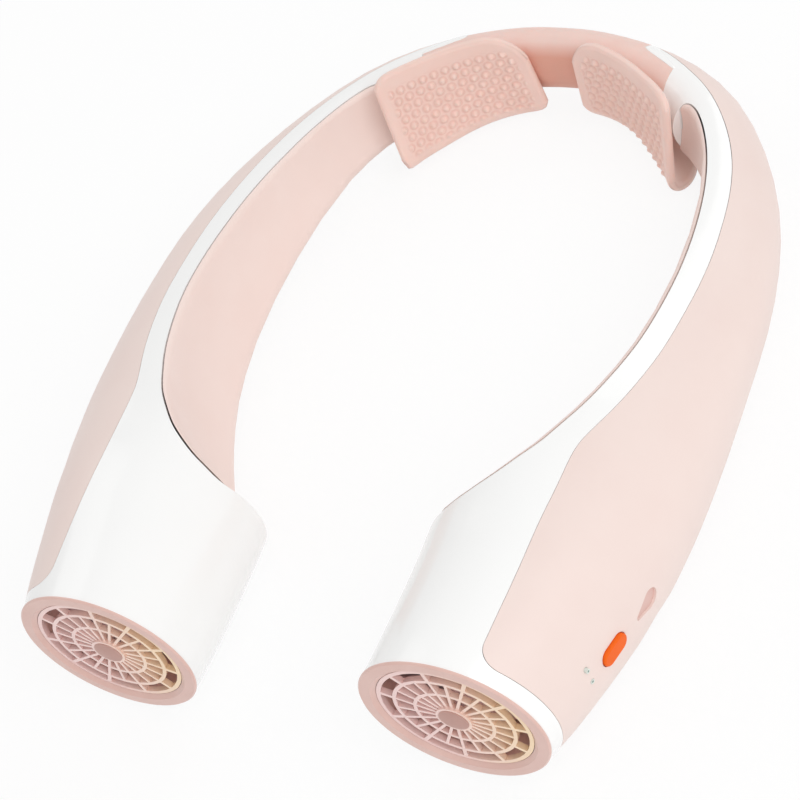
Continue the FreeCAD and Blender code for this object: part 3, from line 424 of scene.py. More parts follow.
@dataclass
class ArmForm:
    """The form shared by the arms and the band: sections at stations from the intake to the middle.

    A row of front holds shares of the reach, of the way out to the widest place, and of the radius:
    outer, inner, top, bottom, lean of the ridge and level of the widest line. A row of back holds
    shares of the reach and half span, the same six, and the turn as a share of a right angle.
    """

    reach: float = 227.0
    half_span: float = 76.4
    intake_spacing: float = 103.6
    radius: float = 25.4
    roundness: float = 0.5523
    front: Table = (
        (0.374, 0.939, 0.743, 1.230, 0.962, 0.965, 0.60, 0.045),
        (0.441, 0.976, 0.718, 1.060, 0.890, 0.895, 0.50, 0.084),
        (0.511, 0.996, 0.694, 0.930, 0.812, 0.825, 0.48, 0.115),
    )
    back: Table = (
        (0.590, 0.997, 0.671, 0.820, 0.705, 0.757, 0.40, 0.109, 0.044),
        (0.670, 0.974, 0.628, 0.720, 0.612, 0.705, 0.36, 0.075, 0.100),
        (0.749, 0.925, 0.555, 0.610, 0.515, 0.665, 0.24, 0.020, 0.200),
        (0.828, 0.836, 0.472, 0.500, 0.442, 0.605, 0.12, -0.015, 0.322),
        (0.899, 0.704, 0.413, 0.413, 0.395, 0.520, 0.04, -0.035, 0.478),
        (0.947, 0.543, 0.370, 0.370, 0.372, 0.475, 0.00, -0.044, 0.633),
        (0.978, 0.366, 0.315, 0.315, 0.382, 0.461, 0.00, -0.040, 0.778),
        (0.996, 0.170, 0.276, 0.276, 0.398, 0.461, 0.00, -0.032, 0.911),
        (1.000, 0.000, 0.260, 0.260, 0.406, 0.461, 0.00, -0.028, 1.000),
    )
    first_station: int = 8
    rows: np.ndarray = field(init=False)

    def __post_init__(self) -> None:
        """Work the tables out in millimetres, with one mirrored row past the middle of the band."""
        front, back = np.array(self.front), np.array(self.back)
        half = self.intake_spacing / 2
        across = np.concatenate([half + front[:, 1] * (self.half_span - half), back[:, 1] * self.half_span])
        along = np.concatenate([front[:, 0], back[:, 0]]) * self.reach
        turn = np.concatenate([np.zeros(len(front)), back[:, 8]]) * math.pi / 2
        sizes = np.concatenate([front[:, 2:8], back[:, 2:8]]) * self.radius
        rows = np.column_stack([across, along, np.cos(turn), np.sin(turn), sizes])
        beyond = rows[-2] * np.array([-1, 1, -1] + [1] * 7)
        self.rows = np.vstack([rows, beyond])

    def stations(self, places: np.ndarray) -> np.ndarray:
        """Sections between the listed ones, on a smooth cubic through each four neighbours.

        Args:
            places: Station numbers, any shape.

        Returns:
            Ten values in the last axis: centre X and Y, outward X and Y, outer, inner, top, bottom,
            lean and level.
        """
        places = np.asarray(places, float) - self.first_station
        index = np.clip(np.floor(places).astype(int), 1, len(self.rows) - 3)
        mix = (places - index)[..., None]
        before, start, end, after = (self.rows[index + step] for step in (-1, 0, 1, 2))
        made = start + mix / 2 * (end - before + mix * (2 * before - 5 * start + 4 * end - after
                                  + mix * (3 * (start - end) + after - before)))
        made[..., 2:4] /= np.linalg.norm(made[..., 2:4], axis=-1, keepdims=True)
        return made

    def skin(self, places: np.ndarray, turns: np.ndarray, inset: np.ndarray | float = 0) -> np.ndarray:
        """Points on the outer skin: four quarter arcs round a section, each one cubic curve.

        Args:
            places: Station numbers.
            turns: Quarter turns round the section, 0 outside, 1 on top, 2 inside, 3 below.
            inset: How far the section is drawn in, in millimetres.

        Returns:
            X, Y, Z in millimetres, level arms.
        """
        places, turns, inset = np.broadcast_arrays(np.asarray(places, float), turns, inset)
        made = self.stations(places)
        centre, out = made[..., 0:2], made[..., 2:4]
        outer, inner, top, bottom = (made[..., i] - inset for i in (4, 5, 6, 7))
        lean, level = made[..., 8], made[..., 9]
        zero = np.zeros_like(level)
        ends = np.stack([np.stack([outer, level], -1), np.stack([-lean, top], -1),
                         np.stack([-inner, level], -1), np.stack([zero, -bottom], -1)], -2)
        corners = np.stack([np.stack([outer, top], -1), np.stack([-inner, top], -1),
                            np.stack([-inner, -bottom], -1), np.stack([outer, -bottom], -1)], -2)
        quarter = np.floor(turns).astype(int) % 4
        share = (turns - np.floor(turns))[..., None]

        def pick(table: np.ndarray, index: np.ndarray) -> np.ndarray:
            """The entry of each section's table at its own index."""
            return np.take_along_axis(table, index[..., None, None], axis=-2)[..., 0, :]

        start, end, corner = pick(ends, quarter), pick(ends, (quarter + 1) % 4), pick(corners, quarter)
        lead = start + (corner - start) * self.roundness
        follow = end + (corner - end) * self.roundness
        rest = 1 - share
        flat = (rest ** 3 * start + 3 * rest ** 2 * share * lead
                + 3 * rest * share ** 2 * follow + share ** 3 * end)
        plan = centre + out * flat[..., :1]
        return np.concatenate([plan, flat[..., 1:]], axis=-1)


def grid_faces(rows: int, columns: int, closed: bool) -> np.ndarray:
    """Four-cornered faces between the points of a grid stored row by row.

    Args:
        rows: Number of rows.
        columns: Points in a row.
        closed: True if the last column joins the first.

    Returns:
        Point numbers, one face in a row.
    """
    steps = columns if closed else columns - 1
    row, column = np.meshgrid(np.arange(rows - 1), np.arange(steps), indexing="ij")
    following = (column + 1) % columns
    corners = [row * columns + column, row * columns + following,
               (row + 1) * columns + following, (row + 1) * columns + column]
    return np.stack(corners, -1).reshape(-1, 4)


def mesh_piece(name: str, points: np.ndarray, faces: np.ndarray, sharp_deg: float = 40) -> Piece:
    """Make a mesh object at the origin, smooth apart from edges sharper than an angle.

    Args:
        name: Piece name.
        points: Places in the row frame, in metres, one in a row.
        faces: Point numbers, three or four to a face.
        sharp_deg: Angle from which an edge stays sharp.

    Returns:
        The linked object.
    """
    mesh = bpy.data.meshes.new(name)
    mesh.from_pydata(points.reshape(-1, 3).tolist(), [], faces.tolist())
    mesh.shade_smooth()
    mesh.set_sharp_from_angle(angle=math.radians(sharp_deg))
    piece = bpy.data.objects.new(name, mesh)
    bpy.context.scene.collection.objects.link(piece)
    return piece


def sided_piece(side: Side, name: str, points_mm: np.ndarray, faces: np.ndarray, place: TablePlace,
                sharp_deg: float = 40) -> Piece:
    """Make a piece of one side from the right side's points: on the left, X and the faces turn round.

    Args:
        side: Left or right.
        name: Piece name without the side.
        points_mm: The right side's points, level arms.
        faces: Point numbers, four to a face, outwards on the right.
        place: How the fan lies.
        sharp_deg: Angle from which an edge stays sharp.

    Returns:
        The linked object.
    """
    points = place.points(points_mm * (side.value, 1, 1))
    return mesh_piece(f"{side.word}_{name}", points, faces[:, ::side.value], sharp_deg)


def mark_painted_shade(piece: Piece, share: np.ndarray) -> None:
    """Keep each point's share of painted shade, the darker colour that its finish mixes in."""
    marks = piece.data.attributes.new(PAINTED_SHADE_ATTRIBUTE, "FLOAT", "POINT")
    marks.data.foreach_set("value", share.astype(np.float32))


def merged_copy(node: str, name: str, sharp_deg: float) -> Piece:
    """Copy a CAD node's loose triangles into one merged, smoothly shaded skin.

    Corners that round to the same micrometre become one point, and triangles that collapse go.

    Args:
        node: CAD node.
        name: Name of the new piece.
        sharp_deg: Angle from which an edge stays sharp.

    Returns:
        The new piece, which stands for the node.
    """
    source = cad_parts[node].data
    places = np.empty(len(source.vertices) * 3)
    source.vertices.foreach_get("co", places)
    corners = np.empty(len(source.loops), int)
    source.loops.foreach_get("vertex_index", corners)
    rounded = np.round(places.reshape(-1, 3) * MICRONS_PER_METRE).astype(np.int64)
    keys, number = np.unique(rounded, axis=0, return_inverse=True)
    faces = number.reshape(-1)[corners].reshape(-1, 3)
    first, second, third = faces.T
    faces = faces[(first != second) & (second != third) & (third != first)]
    piece = mesh_piece(name, keys / MICRONS_PER_METRE, faces, sharp_deg)
    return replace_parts(piece, node)


@dataclass
class Housing:
    """One hollow arm: white shell, pink outer cover and pink inner liner round the fan and the cell."""

    side: Side
    paints: Paints
    sharp_deg: float = 28.0
    skins: tuple[str, ...] = ("arm_shell", "outer_cover", "inner_liner")

    def build(self) -> list[Piece]:
        """Make the smooth skins of the arm.

        Returns:
            The new pieces.
        """
        pieces = []
        for skin in self.skins:
            node = f"{self.side.word}_{skin}"
            piece = merged_copy(node, node + "_skin", self.sharp_deg)
            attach(piece, self.side.word + "_arm")
            self.paints.dress(piece, NODE_SURFACES[skin])
            pieces.append(piece)
        return pieces


@dataclass
class OutletWall:
    """The plate inside an arm that closes the front end of the air slit, between shell and liner."""

    side: Side
    place: TablePlace
    paints: Paints
    centre_mm: Triple = (48.5, 47.3, -1.2)
    radii_mm: Pair = (15.0, 21.0)
    half_thick_mm: float = 0.35
    sweep_deg: Pair = (-52.0, 54.0)
    along: int = 48

    def build(self) -> Piece:
        """Make the plate: a crescent in an upright plane, drawn to a point at both ends.

        A flat four-cornered section is carried round an arc, and its width follows half an ellipse.

        Returns:
            The piece.
        """
        sweep = np.radians(np.linspace(*self.sweep_deg, self.along))[:, None]
        width = np.sqrt(1 - np.linspace(-1, 1, self.along)[:, None] ** 2)
        inner, outer = self.radii_mm
        radius = outer - (outer - inner) * width * np.array([0, 1, 1, 0])
        back = self.half_thick_mm * width * np.array([-1, -1, 1, 1])
        x, y, z = self.centre_mm
        points = np.stack([x - radius * np.cos(sweep), y + back, z + radius * np.sin(sweep)], -1)
        faces = grid_faces(*points.shape[:2], True)
        piece = sided_piece(self.side, "outlet_wall", points, faces, self.place)
        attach(piece, self.side.word + "_arm")
        self.paints.dress(piece, Surface.PINK_LINER)
        return piece


@dataclass
class Controls:
    """The painted shade in the thumb recess and the lamp faces round the button on the right arm, in the
    button's own axes: along, up and out.
    """

    place: TablePlace
    paints: Paints
    base_mm: Triple = (85.42777, 26.83337, -0.34734)
    heading_deg: float = 76.14937
    thumb_ends_mm: Table = ((11.5, -1.4, 1.0), (17.3, -1.4, 3.0))
    thumb_slack_mm: float = 0.05
    least_facing: float = 0.5
    lamp_points_mm: Table = ((-10.1, 4.5), (-10.1, -0.25))
    lamp_radius_mm: float = 0.32
    lamp_rise_mm: float = 0.10
    lamp_rings: int = 6
    lamp_sides: int = 24

    @property
    def axes(self) -> np.ndarray:
        """The button's axes in rows, level arms: along the arm, up and out."""
        cosine, sine = math.cos(math.radians(self.heading_deg)), math.sin(math.radians(self.heading_deg))
        return np.array([(cosine, sine, 0), (0, 0, 1), (sine, -cosine, 0)])

    def paint_thumb_shade(self, cover: Piece) -> None:
        """Paint shade on the floor of the drop-shaped hollow: a darker pink finish, as painted shade.

        A face belongs to the floor where its middle is inside the drop, the hull of two circles, and
        it faces out.

        Args:
            cover: The right outer cover's skin.
        """
        count = len(cover.data.polygons)
        middle, normal = np.empty(count * 3), np.empty(count * 3)
        cover.data.polygons.foreach_get("center", middle)
        cover.data.polygons.foreach_get("normal", normal)
        axes = self.place.directions(self.axes)
        base = self.place.points(np.array(self.base_mm))
        spot = (middle.reshape(-1, 3) - base) @ axes.T / MM
        (near, rise, small), (far, _, large) = self.thumb_ends_mm
        share = np.clip((spot[:, 0] - near) / (far - near), 0, 1)
        reach = np.hypot(spot[:, 0] - near - share * (far - near), spot[:, 1] - rise)
        inside = reach < small + (large - small) * share + self.thumb_slack_mm
        # Painted shade: the recess floor's faces take the darker pink.
        floor = inside & (normal.reshape(-1, 3) @ axes[2] > self.least_facing)
        log.info("thumb mark: %d faces", floor.sum())
        self.paints.put(cover, Surface.PINK_COVER, Surface.THUMB_PAINTED_SHADE)
        cover.data.polygons.foreach_set("material_index", floor.astype(np.int32))

    def lamp_faces(self) -> Piece:
        """Two low domes on the ends of the clear pins: a height of (1 - r squared) over a flat disc.

        Returns:
            The piece.
        """
        share = np.concatenate([np.linspace(0, 1, self.lamp_rings), [1.0, 0.0]])
        turns = np.linspace(0, math.tau, self.lamp_sides, endpoint=False)
        radius, turn = np.meshgrid(share, turns, indexing="ij")
        rise = self.lamp_rise_mm * (1 - radius ** 2)
        rise[-2:] = -self.lamp_rise_mm
        flat = radius * self.lamp_radius_mm
        points, faces = [], []
        for along, up in self.lamp_points_mm:
            local = np.stack([along + flat * np.cos(turn), up + flat * np.sin(turn), rise], -1)
            points.append(np.array(self.base_mm) + local @ self.axes)
            faces.append(grid_faces(*radius.shape, True)[:, ::-1] + len(faces) * radius.size)
        piece = mesh_piece("light_dots", self.place.points(np.stack(points)), np.concatenate(faces))
        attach(piece, "right_arm")
        self.paints.dress(piece, Surface.LIGHT_DOT)
        return piece


@dataclass
class HubInlay:
    """The plain rose disc let into the hub of an intake grille."""

    side: Side
    place: TablePlace
    paints: Paints
    intake_mm: Triple = (51.8, 0.0, 0.0)
    face_mm: float = -0.981
    radius_mm: float = 4.1
    rise_mm: float = 0.35
    edge_mm: float = 0.15
    rings: int = 12
    sides: int = 64

    def build(self) -> Piece:
        """Make the disc: a flat back, an upright rim, then a low dome with a height of (1 - r squared).

        Returns:
            The piece.
        """
        share = np.concatenate([[0.0, 1.0], np.linspace(1, 0, self.rings)])[:, None]
        turn = np.linspace(0, math.tau, self.sides, endpoint=False)[None, :]
        rise = self.edge_mm + (self.rise_mm - self.edge_mm) * (1 - share ** 2)
        rise[:2] = -self.edge_mm
        centre = np.array(self.intake_mm) * (self.side.value, 1, 1)
        x = centre[0] + self.radius_mm * share * np.cos(turn)
        z = centre[2] + self.radius_mm * share * np.sin(turn)
        points = np.stack([x, np.broadcast_to(self.face_mm - rise, x.shape), z], -1)
        faces = grid_faces(*x.shape, True)
        piece = mesh_piece(self.side.word + "_hub_inlay", self.place.points(points), faces)
        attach(piece, self.side.word + "_arm")
        self.paints.dress(piece, Surface.GRILLE_HUB)
        return piece


@dataclass
class NeckBand:
    """The soft band behind the neck, in two halves."""

    form: ArmForm
    place: TablePlace
    paints: Paints
    joint: Table = ((17.50, 0.42), (16.05, 0.045), (15.50, -0.60))
    search: Pair = (14.9, 17.9)
    search_rows: int = 600
    housing_end: float = 17.0
    middle_station: float = 19.0
    station_mm: float = 14.0
    joint_gap_mm: float = 0.02
    edge_round_mm: float = 0.35
    sharp_deg: float = 60.0
    painted_shade_turns: tuple[float, ...] = (1.30, 1.65, 2.90, 3.20)
    bend_mm: Table = ((4.0, 226.0, 0.0), (36.0, 214.0, 0.0))
    around: int = 128
    along: int = 72
    edge_rows: int = 6
    cap_rows: int = 4

    def joint_places(self, turns: np.ndarray) -> np.ndarray:
        """Where each line along the band meets the stepped joint.

        The joint is a bent upright wall. A point is on the arm's side where it is outside either of its
        two planes, and the crossing is read off a fine row of places. On the outside, the band starts
        where the arm's housing ends.

        Args:
            turns: Quarter turns round the section.

        Returns:
            The station number of each line's start.
        """
        places = np.linspace(*self.search, self.search_rows)
        plan = self.form.skin(places[:, None], turns[None, :])[..., :2]
        stations, shares = np.array(self.joint).T
        rows = self.form.stations(stations)
        corners = rows[:, 0:2] + rows[:, 2:4] * shares[:, None] * self.form.radius
        runs = np.diff(corners, axis=0)
        outward = np.stack([-runs[:, 1], runs[:, 0]], -1) / np.linalg.norm(runs, axis=1, keepdims=True)
        clear = np.einsum("ijkl,kl->ijk", plan[:, :, None] - corners[:-1], outward)
        past = clear.max(-1) + self.joint_gap_mm
        last = len(places) - 1 - np.argmax(past[::-1] > 0, axis=0)
        last = np.minimum(last, len(places) - 2)
        column = np.arange(len(turns))
        here, beyond = past[last, column], past[last + 1, column]
        made = places[last] + (places[1] - places[0]) * here / (here - beyond)
        return np.minimum(made, self.housing_end + self.joint_gap_mm / self.station_mm)

    def half(self, side: Side) -> Piece:
        """Make one half: a closed tube of sections, with a rounded end at the joint.

        Rows run from the joint's wall over a quarter round of its edge and along the band to the
        middle. At the joint the first ring sinks to its own level line and a point, which closes the
        end, and in the middle the last ring is drawn to a point.

        Args:
            side: Left or right.

        Returns:
            The piece.
        """
        turns = np.linspace(0, 4, self.around, endpoint=False)
        start = self.joint_places(turns)
        swing = np.linspace(0, math.pi / 2, self.edge_rows)
        lead = self.edge_round_mm * (1 - np.cos(swing)) / self.station_mm
        inset = self.edge_round_mm * (1 - np.sin(swing))
        share = np.linspace(0, 1, self.along)[1:, None]
        body_start = start + lead[-1]
        places = np.vstack([start + lead[:, None], body_start + (self.middle_station - body_start) * share])
        insets = np.concatenate([inset, np.zeros(self.along - 1)])[:, None]
        rings = self.form.skin(places, turns[None, :], insets)
        level = self.form.stations(places)[..., 9:]
        sink = np.linspace(0, 1, self.cap_rows, endpoint=False)[:, None, None]
        height = level[0] + (rings[0][:, 2:] - level[0]) * sink
        plan = np.broadcast_to(rings[0][:, :2], height.shape[:2] + (2,))
        wall = np.concatenate([plan, height], axis=-1)

        def point_of(ring: np.ndarray) -> np.ndarray:
            """A row in which every point is the middle of a ring."""
            return np.broadcast_to(ring.mean(0), (1,) + ring.shape)

        points = np.concatenate([point_of(wall[0]), wall, rings, point_of(rings[-1])])
        faces = grid_faces(*points.shape[:2], True)[:, ::-1]
        piece = sided_piece(side, "band_half", points, faces, self.place, self.sharp_deg)
        # Painted shade: the inner face of the band takes the darker salmon.
        mark_painted_shade(piece, np.tile(np.interp(turns, self.painted_shade_turns, (0, 1, 1, 0)), len(points)))
        return piece

    def bend_ends(self, side: Side) -> list[tuple[float, ...]]:
        """Where the bend from the band to an arm starts and ends, in the row frame."""
        ends = np.array(self.bend_mm) * (side.value, 1, 1)
        return [tuple(end) for end in self.place.points(ends).tolist()]

    def build(self) -> list[Piece]:
        """Make both halves.

        Returns:
            The pieces.
        """
        pieces = []
        for side in Side:
            piece = self.half(side)
            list(self.bend_ends(side))
            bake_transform(piece)
            self.paints.dress(piece, Surface.BAND_SILICONE)
            pieces.append(piece)
        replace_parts(pieces[0], "neck_band")
        return pieces


@dataclass
class ShellTip:
    """The slim white end of an arm's shell, which lies over the top of the band beyond the joint."""

    side: Side
    band: NeckBand
    turns: Pair = (0.36, 0.985)
    round_turn: float = 0.80
    far_station: float = 16.95
    full_width: float = 0.15
    tuck: float = 0.03
    rise_mm: float = 0.15
    edge_mm: float = -0.06
    sink_mm: float = 0.40
    flatness: int = 8
    trial_rows: int = 400
    rows: int = 48
    across: int = 20

    def build(self) -> Piece:
        """Make the tip: a thin closed section from the joint to the tip's edge, carried up the band's side.

        The edge runs level along the band and drops to the joint in a quarter ellipse. The upper skin
        is nearly flat, with a height of the root of (1 - s to the eighth), and the lower one lies in
        the band.

        Returns:
            The piece.
        """
        trial = np.linspace(*self.turns, self.trial_rows)
        first = np.interp(-self.far_station, -self.band.joint_places(trial), trial)
        turns = np.linspace(first, self.turns[1], self.rows)
        start = self.band.joint_places(turns)
        drop = np.clip((turns - self.round_turn) / (turns[-1] - self.round_turn), 0, 1)
        end = np.maximum(start[-1] + (self.far_station - start[-1]) * np.sqrt(1 - drop ** 2), start)
        full = np.clip((end - start) / self.full_width, 0, 1)[:, None]
        step = np.linspace(0, 1, self.across)
        arch = np.sqrt(1 - (2 * step - 1) ** self.flatness)
        upper = self.edge_mm + (self.rise_mm - self.edge_mm) * arch
        section = np.concatenate([upper, np.full(self.across, -self.sink_mm)])
        height = section * full + self.edge_mm * (1 - full)
        near = start[:, None] - self.tuck * full
        places = near + (end[:, None] - near) * np.concatenate([step, step[::-1]])
        points = self.band.form.skin(places, turns[:, None], -height)
        faces = grid_faces(*height.shape, True)
        piece = sided_piece(self.side, "shell_tip", points, faces, self.band.place)
        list(self.band.bend_ends(self.side))
        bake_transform(piece)
        self.band.paints.dress(piece, Surface.WHITE_SHELL)
        return piece


@dataclass
class NeckPad:
    """A bumpy silicone pad on the inside of the band, with its lower edge curled under it.

    A row of the table holds a station, how far the pad stands off the band in millimetres, how far
    it leans back for its height, and the length of the lip past the curl in millimetres.
    """

    side: Side
    form: ArmForm
    place: TablePlace
    paints: Paints
    table: Table = (
        (14.72, 1.4, 0.190, 7.4), (14.86, 1.6, 0.180, 7.0), (15.20, 2.0, 0.165, 6.2),
        (15.70, 2.0, 0.135, 4.8), (16.40, 1.5, 0.075, 3.2), (17.20, 0.6, 0.020, 2.0),
        (17.80, 0.1, 0.000, 1.0), (18.34, 0.0, 0.000, 0.4),
    )
    table_degree: int = 4
    top: float = 17.5
    bottom: float = -19.0
    thickness: float = 2.6
    curl: float = 6.7
    back_gap: float = 0.15
    wrap_places: Pair = (16.2, 18.3)
    wrap_least: float = 0.45
    corner_mm: Table = ((5.5, 5.5), (15.0, 23.0), (6.5, 7.0), (13.0, 14.0))
    blunt_mm: float = 0.4
    slant_mm: Pair = (-1.5, 1.5)
    inner_slant_mm: Pair = (-0.5, 2.2)
    bump_pitch: float = 3.8
    bump_radius: float = 1.25
    bump_height: float = 1.25
    bump_power: float = 1.3
    bump_margin: float = 3.6
    bump_top_margin: float = 5.0
    bump_low_margin: float = 1.0
    margin_share: float = 0.5
    # Painted shade round each bump: the ring's radius and width, as shares of the bump radius.
    painted_shade_ring: float = 1.10
    painted_shade_width: float = 0.40
    sharp_deg: float = 80.0
    ease: float = 0.75
    along: int = 200
    down: int = 170
    outline_step: int = 2

    @property
    def plate(self) -> float:
        """Length of the flat part, from the top edge to the start of the curl."""
        return self.top - self.bottom - self.curl - self.thickness / 2

    def eased(self, count: int) -> np.ndarray:
        """Shares from 0 to 1, between even steps and cosine steps, so closer at both ends."""
        even = np.linspace(0, 1, count)
        return (1 - self.ease) * even + self.ease * (1 - np.cos(math.pi * even)) / 2

    def middle(self) -> tuple[np.ndarray, np.ndarray, np.ndarray]:
        """The pad's middle surface: a leaning plate that follows the band, a quarter curl and a lip.

        The table's columns are smoothed by a curve of the fourth degree. Lines run down the profile
        between the rounded outline's edges, and towards both ends they spread apart below.
        Points are closer at the edges.

        Returns:
            Points in millimetres, the length along and the length down of each point.
        """
        rows = np.array(self.table)
        spread = self.eased(self.along)
        places = rows[0, 0] + (rows[-1, 0] - rows[0, 0]) * spread
        fits = (np.polynomial.Polynomial.fit(rows[:, 0], column, self.table_degree) for column in rows.T[1:])
        standing, lean, lip = (np.clip(fit(places), 0, None) for fit in fits)
        made = self.form.stations(places)
        depth = made[:, 5] + self.back_gap + standing + self.thickness / 2
        line = made[:, 0:2] - made[:, 2:4] * depth[:, None]
        along = np.concatenate([[0], np.cumsum(np.linalg.norm(np.diff(line, axis=0), axis=1))])
        bend = self.curl * math.pi / 2
        wrap = np.interp(places, self.wrap_places, (1, self.wrap_least))
        length = self.plate + (bend + lip) * wrap

        def corner(distance: np.ndarray, radii: tuple[float, ...]) -> np.ndarray:
            """How far an elliptic corner draws the edge in, at a distance from the end."""
            run, drop = radii
            return drop * (1 - np.sqrt(1 - np.clip(1 - (distance + self.blunt_mm) / run, 0, 1) ** 2))

        outer_top, outer_low, inner_low, inner_top = self.corner_mm
        back = along[-1] - along
        high = corner(along, outer_top) + corner(back, inner_top)
        low = length - corner(along, outer_low) - corner(back, inner_low)
        share = self.eased(self.down)
        down = high[:, None] + (low - high)[:, None] * share
        turn = np.clip((down - self.plate) / self.curl, 0, math.pi / 2)
        past = np.clip(down - (self.plate + bend), 0, None)
        height = self.top - np.minimum(down, self.plate) - self.curl * np.sin(turn)
        outward = self.curl * (1 - np.cos(turn)) + past + lean[:, None] * height
        plan = line[:, None] + made[:, None, 2:4] * outward[..., None]
        run = np.gradient(line, axis=0)
        run /= np.linalg.norm(run, axis=1, keepdims=True)
        level = down / length[:, None]
        slant = (np.interp(level, (0, 1), self.inner_slant_mm) * ((along / along[-1]) ** 2)[:, None]
                 - np.interp(level, (0, 1), self.slant_mm) * ((back / along[-1]) ** 2)[:, None])
        plan += run[:, None] * slant[..., None]
        points = np.concatenate([plan, height[..., None]], axis=-1)
        return points, np.broadcast_to(along[:, None], down.shape), down

    def bumps(self, along: np.ndarray, down: np.ndarray, edge: np.ndarray) -> tuple[np.ndarray, np.ndarray]:
        """Round bumps on a staggered lattice: a dome of (1 - r squared) to a power about each point.

        A ring of painted shade lies in the hollow round a bump and fades to both sides of its foot.

        Args:
            along: Length along the pad of each point.
            down: Length down the pad.
            edge: Distance from the outline.

        Returns:
            The added height in millimetres, and the share of painted shade.
        """
        pitch, row_pitch = self.bump_pitch, self.bump_pitch * math.sqrt(3) / 2
        row = np.round(down / row_pitch)
        shift = np.where(row % 2 == 0, 0, pitch / 2)
        column = np.round((along - shift) / pitch)
        centre_along, centre_down = column * pitch + shift, row * row_pitch
        square = ((along - centre_along) ** 2 + (down - centre_down) ** 2) / self.bump_radius ** 2
        clear = np.minimum(edge - self.bump_margin, down - self.bump_top_margin)
        clear = np.minimum(clear, self.plate + self.bump_low_margin - down)
        fade = np.clip(clear / self.bump_radius + self.margin_share, 0, 1)
        dome = self.bump_height * np.clip(1 - square, 0, None) ** self.bump_power
        # Painted shade: a darker ring round the foot of each bump.
        hollow = np.clip(1 - np.abs(np.sqrt(square) - self.painted_shade_ring) / self.painted_shade_width, 0, 1)
        return dome * fade, hollow * fade

    def build(self) -> Piece:
        """Make the pad: two skins off the middle surface, which meet in a full round at the edge.

        Returns:
            The piece.
        """
        points, along, down = self.middle()
        across, along_step = np.gradient(points, axis=1), np.gradient(points, axis=0)
        normal = np.cross(along_step, across)
        normal /= np.linalg.norm(normal, axis=-1, keepdims=True)
        flat = np.stack([along, down], -1)
        outline = np.concatenate([flat[0], flat[:, -1], flat[-1][::-1], flat[::-1, 0]])
        gaps = flat.reshape(-1, 1, 2) - outline[None, ::self.outline_step]
        rim = np.ones(down.shape, bool)
        rim[1:-1, 1:-1] = False
        edge = np.where(rim, 0, np.sqrt((gaps ** 2).sum(-1).min(1)).reshape(down.shape))
        half = self.thickness / 2
        rise = half * np.sqrt(1 - (1 - np.clip(edge / half, 0, 1)) ** 2)
        bump, hollow = self.bumps(along, down, edge)
        front = points + normal * (rise + bump)[..., None]
        rear = points - normal * rise[..., None]
        count = down.size
        faces = grid_faces(*down.shape, False)
        number = np.where(rim.reshape(-1), np.arange(count), np.arange(count) + count)
        faces = np.concatenate([faces[:, ::-1], number[faces]])
        both = np.concatenate([front.reshape(-1, 3), rear.reshape(-1, 3)])
        used, faces = np.unique(faces, return_inverse=True)
        faces = faces.reshape(-1, 4)
        piece = sided_piece(self.side, "pad_cushion", both[used], faces, self.place, self.sharp_deg)
        # Painted shade on the front skin round the bumps, none on the rear skin.
        mark_painted_shade(piece, np.concatenate([hollow.reshape(-1), np.zeros(count)])[used])
        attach(piece, "band")
        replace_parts(piece, self.side.word + "_neck_pad")
        self.paints.dress(piece, Surface.PAD_SILICONE)
        return piece


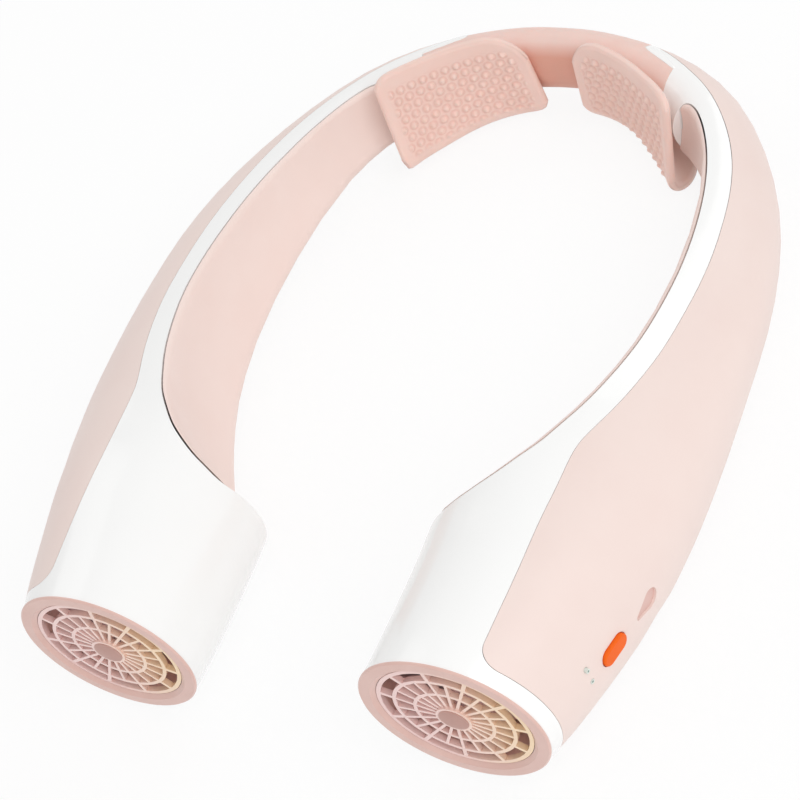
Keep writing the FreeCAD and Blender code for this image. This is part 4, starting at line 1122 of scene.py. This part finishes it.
@dataclass
class Studio:
    """A pale floor, soft lamps, an even surround and the camera at the photograph's viewing angle."""

    place: TablePlace
    camera_mm: Triple = (309.2, -253.13, 502.07)
    camera_right: Triple = (0.88313, 0.36313, -0.29702)
    camera_up: Triple = (-0.11627, 0.78279, 0.61133)
    focal_px: float = 2463.207
    sensor_mm: float = 36.0
    clip_m: Pair = (0.01, 50.0)
    floor_m: float = 6.0
    surround: float = 0.60
    floor_shade: float = 0.14
    lamps: tuple[tuple[str, Triple, float, float], ...] = (
        ("key_softbox", (0.70, -0.20, 0.85), 0.80, 4.2),
        ("left_softbox", (-0.70, 0.10, 0.65), 0.60, 0.8),
        ("back_softbox", (0.15, 0.80, 0.60), 0.50, 0.8),
        ("front_softbox", (0.35, -0.75, 0.32), 0.50, 0.40),
    )

    def camera(self) -> None:
        """Set the camera by its own axes, with a lens worked out from the focal length in pixels."""
        right, up = self.place.directions(np.array([self.camera_right, self.camera_up]))
        right = right / np.linalg.norm(right)
        back = np.cross(right, up)
        back /= np.linalg.norm(back)
        up = np.cross(back, right)
        data = bpy.data.cameras.new("studio_camera")
        data.sensor_width = self.sensor_mm
        data.lens = self.focal_px * self.sensor_mm / PHOTO_SIDE_PX
        data.clip_start, data.clip_end = self.clip_m
        held = bpy.data.objects.new("studio_camera", data)
        turned = Matrix(np.column_stack([right, up, back]).tolist()).to_4x4()
        turned.translation = Vector(self.place.points(np.array(self.camera_mm)).tolist())
        held.matrix_world = turned
        bpy.context.scene.collection.objects.link(held)
        bpy.context.scene.camera = held

    @staticmethod
    def seen(tree: Tree) -> Socket:
        """Add one for what the camera, a mirror or clear plastic sees, and nought for light on surfaces.

        Args:
            tree: Node tree of the surround or the floor.

        Returns:
            The socket with the one or nought.
        """
        path = add_node(tree, "ShaderNodeLightPath").outputs
        direct = {0: path["Is Camera Ray"], 1: path["Is Glossy Ray"]}
        first = add_node(tree, "ShaderNodeMath", direct, operation="MAXIMUM").outputs[0]
        through = {0: first, 1: path["Is Transmission Ray"]}
        return add_node(tree, "ShaderNodeMath", through, operation="MAXIMUM").outputs[0]

    def surroundings(self) -> None:
        """A white surround: strength 1 where it is seen, lower where it lights the fan."""
        world = bpy.data.worlds.new("white_surround")
        world.use_nodes = True
        tree = world.node_tree
        tree.nodes.clear()
        strength = add_node(tree, "ShaderNodeMapRange", {
            "Value": self.seen(tree), "To Min": self.surround, "To Max": 1.0}).outputs["Result"]
        glow = add_node(tree, "ShaderNodeBackground", {"Color": WHITE, "Strength": strength})
        add_node(tree, "ShaderNodeOutputWorld", {"Surface": glow.outputs[0]})
        bpy.context.scene.world = world

    def floor(self) -> None:
        """A plain white floor that keeps a faint shadow: a steady white plus a share that is lit."""
        side = self.floor_m / 2
        corners = np.array([(-side, -side, 0), (side, -side, 0), (side, side, 0), (-side, side, 0)])
        piece = mesh_piece("table_top", corners, np.array([[0, 1, 2, 3]]))
        paint = bpy.data.materials.new("white_table_top")
        paint.use_nodes = True
        tree = paint.node_tree
        tree.nodes.clear()
        lit = add_node(tree, "ShaderNodeBsdfDiffuse", {"Color": WHITE}).outputs[0]
        steady = add_node(tree, "ShaderNodeEmission", {"Color": WHITE, "Strength": 1.0}).outputs[0]
        kept = {0: self.seen(tree), 1: 1 - self.floor_shade}
        share = add_node(tree, "ShaderNodeMath", kept, operation="MULTIPLY").outputs[0]
        both = add_node(tree, "ShaderNodeMixShader", {0: share, 1: lit, 2: steady})
        add_node(tree, "ShaderNodeOutputMaterial", {"Surface": both.outputs[0]})
        piece.data.materials.append(paint)

    def lights(self) -> None:
        """Square soft lamps that face the middle of the fan."""
        for name, spot, side, watts in self.lamps:
            data = bpy.data.lights.new(name, "AREA")
            data.size, data.energy = side, watts
            lamp = bpy.data.objects.new(name, data)
            lamp.location = spot
            lamp.rotation_euler = (-Vector(spot)).to_track_quat("-Z", "Y").to_euler()
            bpy.context.scene.collection.objects.link(lamp)

    def build(self) -> None:
        """Make the camera, surround, floor and lamps, with colours shown as written."""
        bpy.context.scene.view_settings.view_transform = "Standard"
        self.camera()
        self.surroundings()
        self.floor()
        self.lights()


def dress_nodes(paints: Paints) -> None:
    """Give every CAD node the finish of its slot.

    Args:
        paints: The made materials.
    """
    for node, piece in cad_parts.items():
        kind = node.removeprefix("left_").removeprefix("right_")
        paints.put(piece, NODE_SURFACES[kind])


def main() -> None:
    """Build the sub-assemblies in order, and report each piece."""
    logging.basicConfig(level=logging.INFO, format="%(message)s")
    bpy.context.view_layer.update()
    place, form, paints = TablePlace(), ArmForm(), Paints()
    Studio(place).build()
    dress_nodes(paints)
    band = NeckBand(form, place, paints)
    pieces = band.build()
    for side in Side:
        pieces.append(ShellTip(side, band).build())
        pieces += Housing(side, paints).build()
        pieces.append(OutletWall(side, place, paints).build())
        pieces.append(NeckPad(side, form, place, paints).build())
        pieces.append(HubInlay(side, place, paints).build())
    controls = Controls(place, paints)
    controls.paint_thumb_shade(bpy.data.objects["right_outer_cover_skin"])
    pieces.append(controls.lamp_faces())
    for piece in pieces:
        log.info("%s: %d faces", piece.name, len(piece.data.polygons))


if __name__ == "__main__":
    main()
